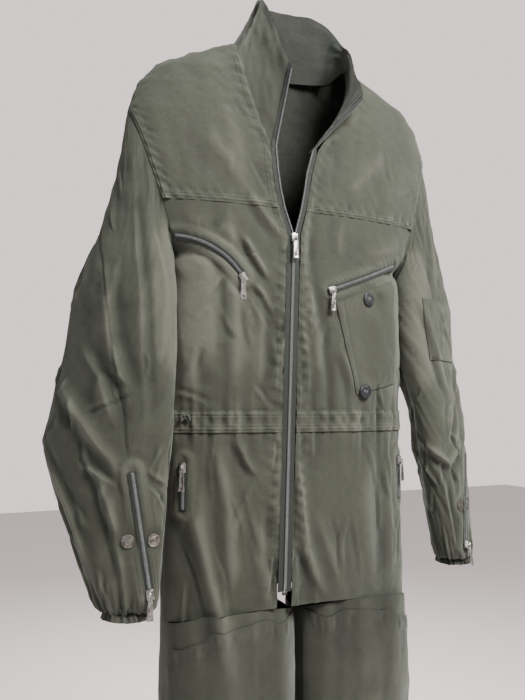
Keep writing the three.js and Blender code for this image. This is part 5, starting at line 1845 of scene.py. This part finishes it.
@dataclass
class Zips:
    """All the zips' tapes and coils."""

    torso: Torso
    collar: Collar
    sleeves: dict
    tooth: tuple = field(default_factory=lambda: tooth_shape(0.0044, 0.0011, 0.0012))
    edge_tooth: tuple = field(default_factory=lambda: tooth_shape(0.0026, 0.0011, 0.0012))

    def main(self) -> None:
        """The main zip: a closed coil up to the slider, then an edge of coil on each side up the collar."""
        pattern = self.torso.pattern
        front = np.array([0.0, -1.0, 0.0])
        path = []
        for z in np.linspace(pattern.zip_top[1] - 0.004, pattern.zip_end[1] + 0.002, 150):
            x = (float(pattern.coil_edge(Side.LEFT, z)) + float(pattern.coil_edge(Side.RIGHT, z))) / 2
            path.append((np.array([x, -0.0561, z]), front))
        run = Run("main_zip_coil", COIL, 0.00155)
        run.lay(self.tooth, path, 0.0, 0.0004)
        for side in (Side.RIGHT, Side.LEFT):
            edge = []
            for z in np.linspace(pattern.zip_top[1] - 0.004, pattern.collar_foot - 0.004, 50):
                x = float(pattern.coil_edge(side, z))
                y = pattern.shape.front(x + side.value * pattern.tape, z)[1]
                edge.append((np.array([x + side.value * 0.0012, y - 0.0002, z]), front))
            last = len(self.collar.columns) - 1
            end = last if side is Side.LEFT else 0
            sign = -1 if side is Side.LEFT else 1
            for share in np.linspace(0.06, 0.97, 30):
                point = self.collar.point(end + sign * 0.05, share)
                ahead = self.collar.point(end + sign * 0.4, share)
                up = self.collar.point(end, min(share + 0.05, 1)) - self.collar.point(end, share - 0.05)
                normal = np.cross(ahead - point, up) * sign * -1
                normal /= np.linalg.norm(normal)
                edge.append((point + normal * 0.0016, normal))
            run.lay(self.edge_tooth, resample(edge, 0.002), 0.0)
        run.build("suit")
        for side in (Side.RIGHT, Side.LEFT):
            node = frame["nodes"][f"main_zip_{side.label}"]
            node.data.materials.clear()
            node.data.materials.append(TAPE.surface())

    def strip(self, name: str, path: Sequence[tuple], body: str, width: float = 0.0102) -> None:
        """A pocket zip: its tape, coil and the node that they stand for."""
        path = resample(path, 0.003)
        tape = ribbon(f"{name}_tape", path, width, 0.0008)
        made = tape.build(TAPE, body, rests_on=(name,))
        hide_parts(name)
        run = Run(f"{name}_coil", COIL, 0.0015)
        run.lay(self.tooth, path, 0.0, 0.0003)
        run.build(body)

    def build(self) -> None:
        """Makes every zip."""
        self.main()
        for side in (Side.RIGHT, Side.LEFT):
            self.strip(f"chest_zip_{side.label}", zip_path(f"chest_zip_{side.label}"), "suit")
            self.strip(f"side_zip_{side.label}", zip_path(f"side_zip_{side.label}"), "suit")
            self.strip(f"sleeve_zip_{side.label}", zip_path(f"sleeve_zip_{side.label}"),
                       self.sleeves[side].body)
        for name in ("main_zip", *[f"{kind}_zip_{side.label}" for kind in ("chest", "side", "sleeve")
                                   for side in (Side.RIGHT, Side.LEFT)]):
            Hardware(name).build()


# ---- buttons and snaps ---------------------------------------------------------------------------
@dataclass
class Fasteners:
    """Two slotted buttons, four press snaps and the zip's bottom stop."""

    def spot(self, node: str) -> tuple:
        """Centre, outward direction, radius and height of a disc."""
        verts = np.array([v.co for v in frame["nodes"][node].data.vertices])
        centre = verts.mean(axis=0)
        _, _, axes = np.linalg.svd(verts - centre, full_matrices=False)
        normal = axes[2]
        flat = (verts - centre) @ normal
        if normal[1] > 0:
            normal, flat = -normal, -flat
        radius = np.linalg.norm((verts - centre) - np.outer(flat, normal), axis=1).max()
        return centre + normal * flat.min(), normal, float(radius), float(flat.max() - flat.min())

    def button(self, radius: float, height: float) -> bpy.types.Object:
        """A button with a round rim, a sunk ring and two slots with the tape through them."""
        made = Maker.disc(radius, height * 0.8, 48)
        Maker.step(made, lambda c, n: n.z > 0.9, radius * 0.16, height * 0.2)
        Maker.step(made, lambda c, n: n.z > 0.9 and c.length < radius * 0.3, radius * 0.14, -height * 0.34)
        Maker.step(made, lambda c, n: n.z > 0.9 and c.length < radius * 0.3, radius * 0.20, height * 0.16)
        Maker.bevel(made, height * 0.09, 2, 25)
        for sign in (-1, 1):
            slot = Maker.cube((radius * 0.16, radius * 0.62, height * 3), (sign * radius * 0.19, 0, height))
            Maker.cut(made, slot)
        return made

    def bridge(self, radius: float, height: float) -> bpy.types.Object:
        """The tape that holds a button, where it passes over the bar between the slots, in light grey nylon
        as a painted highlight on the bar.
        """
        made = Maker.cube((radius * 0.52, radius * 0.46, height * 0.16), (0, 0, height * 0.86))
        Maker.bevel(made, height * 0.07, 2)
        return made

    def snap(self, radius: float, height: float) -> bpy.types.Object:
        """A pressed metal cap with a rolled rim and a shallow dome."""
        made = Maker.disc(radius, height * 0.45, 40)
        Maker.step(made, lambda c, n: n.z > 0.9, radius * 0.10, height * 0.25)
        Maker.step(made, lambda c, n: n.z > 0.9 and c.length < radius * 0.4, radius * 0.12, -height * 0.12)
        Maker.step(made, lambda c, n: n.z > 0.9 and c.length < radius * 0.4, radius * 0.16, height * 0.22)
        Maker.step(made, lambda c, n: n.z > 0.9 and c.length < radius * 0.4, radius * 0.26, height * 0.12)
        Maker.bevel(made, height * 0.10, 2, 15)
        return made

    def build(self) -> None:
        """Makes each fastener."""
        for name in ("pocket_button_upper", "pocket_button_lower"):
            centre, normal, radius, height = self.spot(name)
            place = frame_at((0.3, 0, 1), normal, centre)
            made = Maker.dress(self.button(radius, height), f"{name}_plastic", BLACK, place)
            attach(made, "suit")
            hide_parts(name)
            # The tape over the bar is made light grey as a painted highlight.
            made = Maker.dress(self.bridge(radius, height), f"{name}_tape", COIL, place)
            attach(made, "suit")
        for side in (Side.RIGHT, Side.LEFT):
            for number in (1, 2):
                name = f"snap_{side.label}_{number}"
                centre, normal, radius, height = self.spot(name)
                made = Maker.dress(self.snap(radius, height), f"{name}_metal", BRONZE,
                                   frame_at((0, 0, 1), normal, centre))
                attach(made, f"sleeve_{side.label}_body")
                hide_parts(name)
        low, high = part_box("main_zip_stop")
        stop = Maker.cube(tuple(high - low), tuple((low + high) / 2))
        Maker.bevel(stop, 0.0007, 3)
        made = Maker.dress(stop, "main_zip_stop_metal", BLACK, Matrix.Identity(4))
        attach(made, "suit")
        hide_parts("main_zip_stop")
        log.info("buttons, snaps and stop")


# ---- pockets and ties ----------------------------------------------------------------------------
@dataclass
class Pockets:
    """The slanted chest pocket, the arm pocket and the knotted waist tie."""

    torso: Torso
    sleeves: dict
    corners: tuple = ((50, -356), (160, -313), (84, -488), (160, -470))

    def patch(self, name: str, grid: np.ndarray, body: str, rests_on: str,
              blend: Optional[tuple] = None) -> Cloth:
        """A patch sewn on the cloth, with a doubled edge.

        Args:
            name: the node that it stands for.
            grid: its points on the cloth.
            body: the body it rides on.
            rests_on: the cloth under it.
            blend: bodies, start and end for a bend, if one is meant; when given, the patch rides on no body
                and its place is baked in.
        Returns:
            The cloth.
        """
        rows, columns = grid.shape[:2]
        r = np.linspace(0, 1, rows)[:, None]
        c = np.linspace(0, 1, columns)[None, :]
        length = np.linalg.norm(grid[-1, 0] - grid[0, 0])
        width = np.linalg.norm(grid[0, -1] - grid[0, 0])
        edge = np.minimum(np.minimum(r, 1 - r) * length, np.minimum(c, 1 - c) * width)
        relief = 0.0014 - 0.0008 * (1 - smooth_step(edge / 0.0022))
        relief = relief - 0.0007 * np.exp(-((edge - 0.0028) / 0.0012) ** 2)
        relief = relief - 0.0008 * np.exp(-((c * width - 0.0125) / 0.0014) ** 2)
        cloth = Cloth(name, grid, relief, thickness=0.0008)
        made = cloth.build(OLIVE, None if blend else body, rests_on=(rests_on,))
        made.name = f"{name}_cloth"
        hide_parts(name)
        if blend:
            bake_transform(made)
        return cloth

    def chest(self) -> Cloth:
        """The pocket on the wearer's left chest, under the zip."""
        (x0, z0), (x1, z1), (x2, z2), (x3, z3) = (np.array(c) * MM for c in self.corners)
        grid = np.zeros((54, 56, 3))
        for i, r in enumerate(np.linspace(0, 1, 54)):
            for j, c in enumerate(np.linspace(0, 1, 56)):
                x = (x0 * (1 - c) + x1 * c) * (1 - r) + (x2 * (1 - c) + x3 * c) * r
                z = (z0 * (1 - c) + z1 * c) * (1 - r) + (z2 * (1 - c) + z3 * c) * r
                grid[i, j] = self.torso.on_front(x, z, 0.0008)[0]
        kernel = np.array([1, 2, 1]) / 4
        for _ in range(3):
            inner = grid.copy()
            inner[1:-1] = grid[:-2] * kernel[0] + grid[1:-1] * kernel[1] + grid[2:] * kernel[2]
            grid = inner.copy()
            grid[:, 1:-1] = inner[:, :-2] * kernel[0] + inner[:, 1:-1] * kernel[1] + inner[:, 2:] * kernel[2]
        return self.patch("chest_pocket_left", grid, "suit", "chest_panel_left_cloth")

    def arm(self) -> Cloth:
        """The pocket on the wearer's left upper arm."""
        sleeve = self.sleeves[Side.LEFT]
        rows = np.linspace(47, 76, 36)
        columns = np.linspace(26, 92, 36) / 360 * sleeve.columns
        grid = np.array([[np.add(*[v * w for v, w in zip(sleeve.upper.at(r, c), (1, 0.0008))])
                          for c in columns] for r in rows])
        start, end = sleeve.shoulder()
        return self.patch("arm_pocket_left", grid, sleeve.body, "sleeve_left_cloth",
                          ("suit", sleeve.body, start, end))

    def tie(self) -> None:
        """The waist cord's knot at the wearer's right: a short cord wound over itself."""
        low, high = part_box("waist_tie")
        centre = (low + high) / 2
        size = high - low
        turns = 26
        ring = 8
        points, faces = [], []
        for i in range(turns + 1):
            t = i / turns * math.tau * 1.5
            middle = Vector((centre.x + size.x * 0.40 * math.sin(t),
                             centre.y - 0.001 + 0.0016 * math.cos(t * 2),
                             centre.z + size.z * 0.34 * math.sin(t * 2 + 0.6)))
            for k in range(ring):
                a = math.tau * k / ring
                rim = Vector((0.0018 * math.cos(a), 0.0016 * math.sin(a), 0.0018 * math.sin(a + 0.7)))
                points.append(middle + rim)
        for i in range(turns):
            for k in range(ring):
                m = (k + 1) % ring
                faces.append((i * ring + k, i * ring + m, (i + 1) * ring + m, (i + 1) * ring + k))
        faces.append(tuple(range(ring)))
        faces.append(tuple(turns * ring + k for k in reversed(range(ring))))
        mesh = bpy.data.meshes.new("waist_tie_cord")
        mesh.from_pydata([tuple(p) for p in points], [], faces)
        made = finish_object("waist_tie_cord", mesh, OLIVE_DARK)
        Maker.clear()
        made.select_set(True)
        bpy.context.view_layer.objects.active = made
        bpy.ops.object.mode_set(mode="EDIT")
        bpy.ops.mesh.select_all(action="SELECT")
        bpy.ops.mesh.normals_make_consistent(inside=False)
        bpy.ops.object.mode_set(mode="OBJECT")
        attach(made, "suit")
        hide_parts("waist_tie")

    def build(self) -> None:
        """Makes the pockets and the tie."""
        self.chest_cloth = self.chest()
        self.arm_cloth = self.arm()
        self.tie()


# ---- stitching -----------------------------------------------------------------------------------
@dataclass
class Stitching:
    """Rows of stitches along the seams."""

    torso: Torso
    collar: Cloth
    sleeves: dict
    legs: dict
    pockets: Pockets
    rows: tuple = (0.0022, 0.0072)
    pitch: float = 0.0033

    def body(self) -> None:
        """Seams of the body and collar."""
        shape = stitch_shape()
        run = Run("body_stitching", THREAD, self.pitch)
        panels = self.torso.panels
        for distance in self.rows:
            for side in ("right", "left"):
                run.lay(shape, panels[f"yoke_{side}"].along_row(-distance))
                run.lay(shape, panels[f"yoke_{side}"].along_column(distance, 0.58, 1.0))
                run.lay(shape, panels[f"yoke_{side}"].along_column(-distance, 0.52, 1.0))
                run.lay(shape, panels[f"chest_panel_{side}"].along_column(distance))
                run.lay(shape, panels[f"hip_panel_{side}"].along_column(distance))
            run.lay(shape, panels["back_yoke"].along_row(-distance))
        for distance in (0.0022, -0.0022):
            run.lay(shape, panels["waistband"].along_row(distance))
        for distance in (0.0065, -0.005):
            run.lay(shape, self.collar.along_row(distance))
        pocket = self.pockets.chest_cloth
        for distance in (0.0028, 0.0125):
            run.lay(shape, pocket.along_column(distance))
        run.lay(shape, pocket.along_row(-0.0028))
        run.build("suit")

    def limbs(self) -> None:
        """Seams of the sleeves and legs."""
        shape = stitch_shape()
        for side, sleeve in self.sleeves.items():
            run = Run(f"sleeve_{side.label}_stitching", THREAD, self.pitch)
            for offset in (-7.6, 7.6):
                run.lay(shape, [sleeve.zip_line(s, offset / (1 - 0.4 * s)) for s in np.linspace(0, 1, 40)])
            for path in sleeve.seams():
                run.lay(shape, [spot for spot in sleeve.seam_line(path, 4.4) if spot[0][2] < -0.52])
            run.lay(shape, sleeve.cuff.along_row(0.0018))
            run.build(sleeve.body)
            run = Run(f"upper_sleeve_{side.label}_stitching", THREAD, self.pitch)
            for path in sleeve.seams():
                run.lay(shape, [spot for spot in sleeve.seam_line(path, 4.4) if -0.50 < spot[0][2] < -0.20])
            run.build(sleeve.body)
        for side, leg in self.legs.items():
            run = Run(f"knee_{side.label}_stitching", THREAD, self.pitch)
            patch = leg.pieces[f"knee_patch_{side.label}"]
            for distance in (0.0025, 0.0200, -0.0025):
                run.lay(shape, patch.along_row(distance))
            made = run.build(None)
            leg.body
            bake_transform(made)
            run = Run(f"hem_{side.label}_stitching", THREAD, self.pitch)
            run.lay(shape, leg.pieces[f"hem_band_{side.label}"].along_row(0.008))
            run.build(leg.body)
        run = Run("arm_pocket_stitching", THREAD, self.pitch)
        pocket = self.pockets.arm_cloth
        for line in (pocket.along_row, pocket.along_column):
            for distance in (0.0028, -0.0028):
                run.lay(shape, line(distance))
        run.build(self.sleeves[Side.LEFT].body)

    def build(self) -> None:
        """Sews every seam."""
        self.body()
        self.limbs()


# ---- stage ---------------------------------------------------------------------------------------
@dataclass
class Stage:
    """Floor, lights and camera."""

    eye: tuple = (-0.4476, -0.9075, -0.5100)
    look: tuple = (0.40769, 0.90900, 0.08663)
    lens: float = 35.49

    def light(self, name: str, place: tuple, size: float, power: float, colour: tuple, target: tuple) -> None:
        """Adds a soft square light that faces a target."""
        lamp = bpy.data.lights.new(name, "AREA")
        lamp.size = size
        lamp.energy = power
        lamp.color = colour
        made = bpy.data.objects.new(name, lamp)
        bpy.context.scene.collection.objects.link(made)
        made.location = place
        made.rotation_euler = (Vector(target) - Vector(place)).to_track_quat("-Z", "Y").to_euler()

    def build(self) -> None:
        """Makes the stage."""
        Maker.clear()
        bpy.ops.mesh.primitive_plane_add(size=14, location=(0, 0, -1.60))
        floor = bpy.context.object
        floor.name = "floor"
        paint = bpy.data.materials.new("Floor paint")
        paint.use_nodes = True
        tree = Tree(paint.node_tree)
        shader = paint.node_tree.nodes["Principled BSDF"]
        grain = tree.noise(tree.node("TexCoord").outputs["Object"], 3.0, 3.0)
        shade = tree.mix(grain, (0.70, 0.64, 0.63, 1), (0.76, 0.69, 0.68, 1))
        tree.tree.links.new(shade, shader.inputs["Base Color"])
        shader.inputs["Roughness"].default_value = 0.8
        shader.inputs["Emission Color"].default_value = (0.80, 0.72, 0.72, 1)
        shader.inputs["Emission Strength"].default_value = 0.45
        floor.data.materials.append(paint)
        world = bpy.data.worlds.new("Pale room")
        world.use_nodes = True
        background = world.node_tree.nodes["Background"]
        tree = Tree(world.node_tree)
        seen = tree.node("LightPath").outputs["Is Camera Ray"]
        background.inputs["Color"].default_value = (0.86, 0.75, 0.755, 1)
        world.node_tree.links.new(tree.math("MULTIPLY_ADD", seen, 1.2, 0.34), background.inputs["Strength"])
        bpy.context.scene.world = world
        self.light("key", (0.55, -1.35, 0.95), 0.8, 140, (1.0, 0.975, 0.93), (0, 0, -0.30))
        self.light("fill", (-1.9, -0.9, 0.7), 1.2, 20, (0.88, 0.96, 1.0), (0, 0, -0.5))
        self.light("back", (0.6, 1.9, 0.9), 1.6, 95, (1.0, 0.97, 0.94), (0, 0, -0.6))
        camera = bpy.data.cameras.new("camera")
        camera.lens = self.lens
        camera.sensor_width = 36
        camera.clip_start = 0.01
        made = bpy.data.objects.new("camera", camera)
        bpy.context.scene.collection.objects.link(made)
        made.location = self.eye
        made.rotation_euler = Vector(self.look).to_track_quat("-Z", "Y").to_euler()
        bpy.context.scene.camera = made


def seat_line(name: str) -> np.ndarray:
    """The seat of a zip, as points."""
    return np.array([point for point, _ in resample(zip_path(name), 0.0025)])


def body_calm() -> list:
    """Flat places of the body: along its pocket zips and under its buttons."""
    names = [f"{kind}_zip_{side.label}" for kind in ("chest", "side") for side in (Side.RIGHT, Side.LEFT)]
    found = [Calm(seat_line(name), 0.010, True) for name in names]
    for name in ("pocket_button_upper", "pocket_button_lower"):
        centre, _, _, _ = Fasteners().spot(name)
        found.append(Calm(np.array([centre]), 0.012, False, 0.0022))
    return found


def arm_calm(side: Side) -> list:
    """Flat places of a sleeve: along its zip and under its snaps."""
    found = [Calm(seat_line(f"sleeve_zip_{side.label}"), 0.010, True)]
    for number in (1, 2):
        centre, _, _, _ = Fasteners().spot(f"snap_{side.label}_{number}")
        found.append(Calm(np.array([centre]), 0.009, False, 0.0004))
    return found


def main() -> None:
    """Builds the coverall piece by piece."""
    logging.basicConfig(level=logging.INFO, format="%(message)s")
    Stage().build()
    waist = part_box("waistband")
    waist_top, waist_low = float(waist[1].z), float(waist[0].z)
    pattern = Pattern()
    torso = Torso(pattern, BodyRelief(waist_top, waist_low), float(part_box("yoke_right")[0].z),
                  float(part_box("back_yoke")[0].z), (waist_top, waist_low), body_calm())
    torso.build()
    collar = Collar(pattern)
    collar_cloth = collar.build()
    sleeves = {side: Sleeve(side, pattern, arm_calm(side)) for side in (Side.RIGHT, Side.LEFT)}
    for sleeve in sleeves.values():
        sleeve.build()
    legs = {side: Leg(side) for side in (Side.RIGHT, Side.LEFT)}
    for leg in legs.values():
        leg.build()
    Zips(torso, collar, sleeves).build()
    Fasteners().build()
    pockets = Pockets(torso, sleeves)
    pockets.build()
    Stitching(torso, collar_cloth, sleeves, legs, pockets).build()


if __name__ == "__main__":
    main()
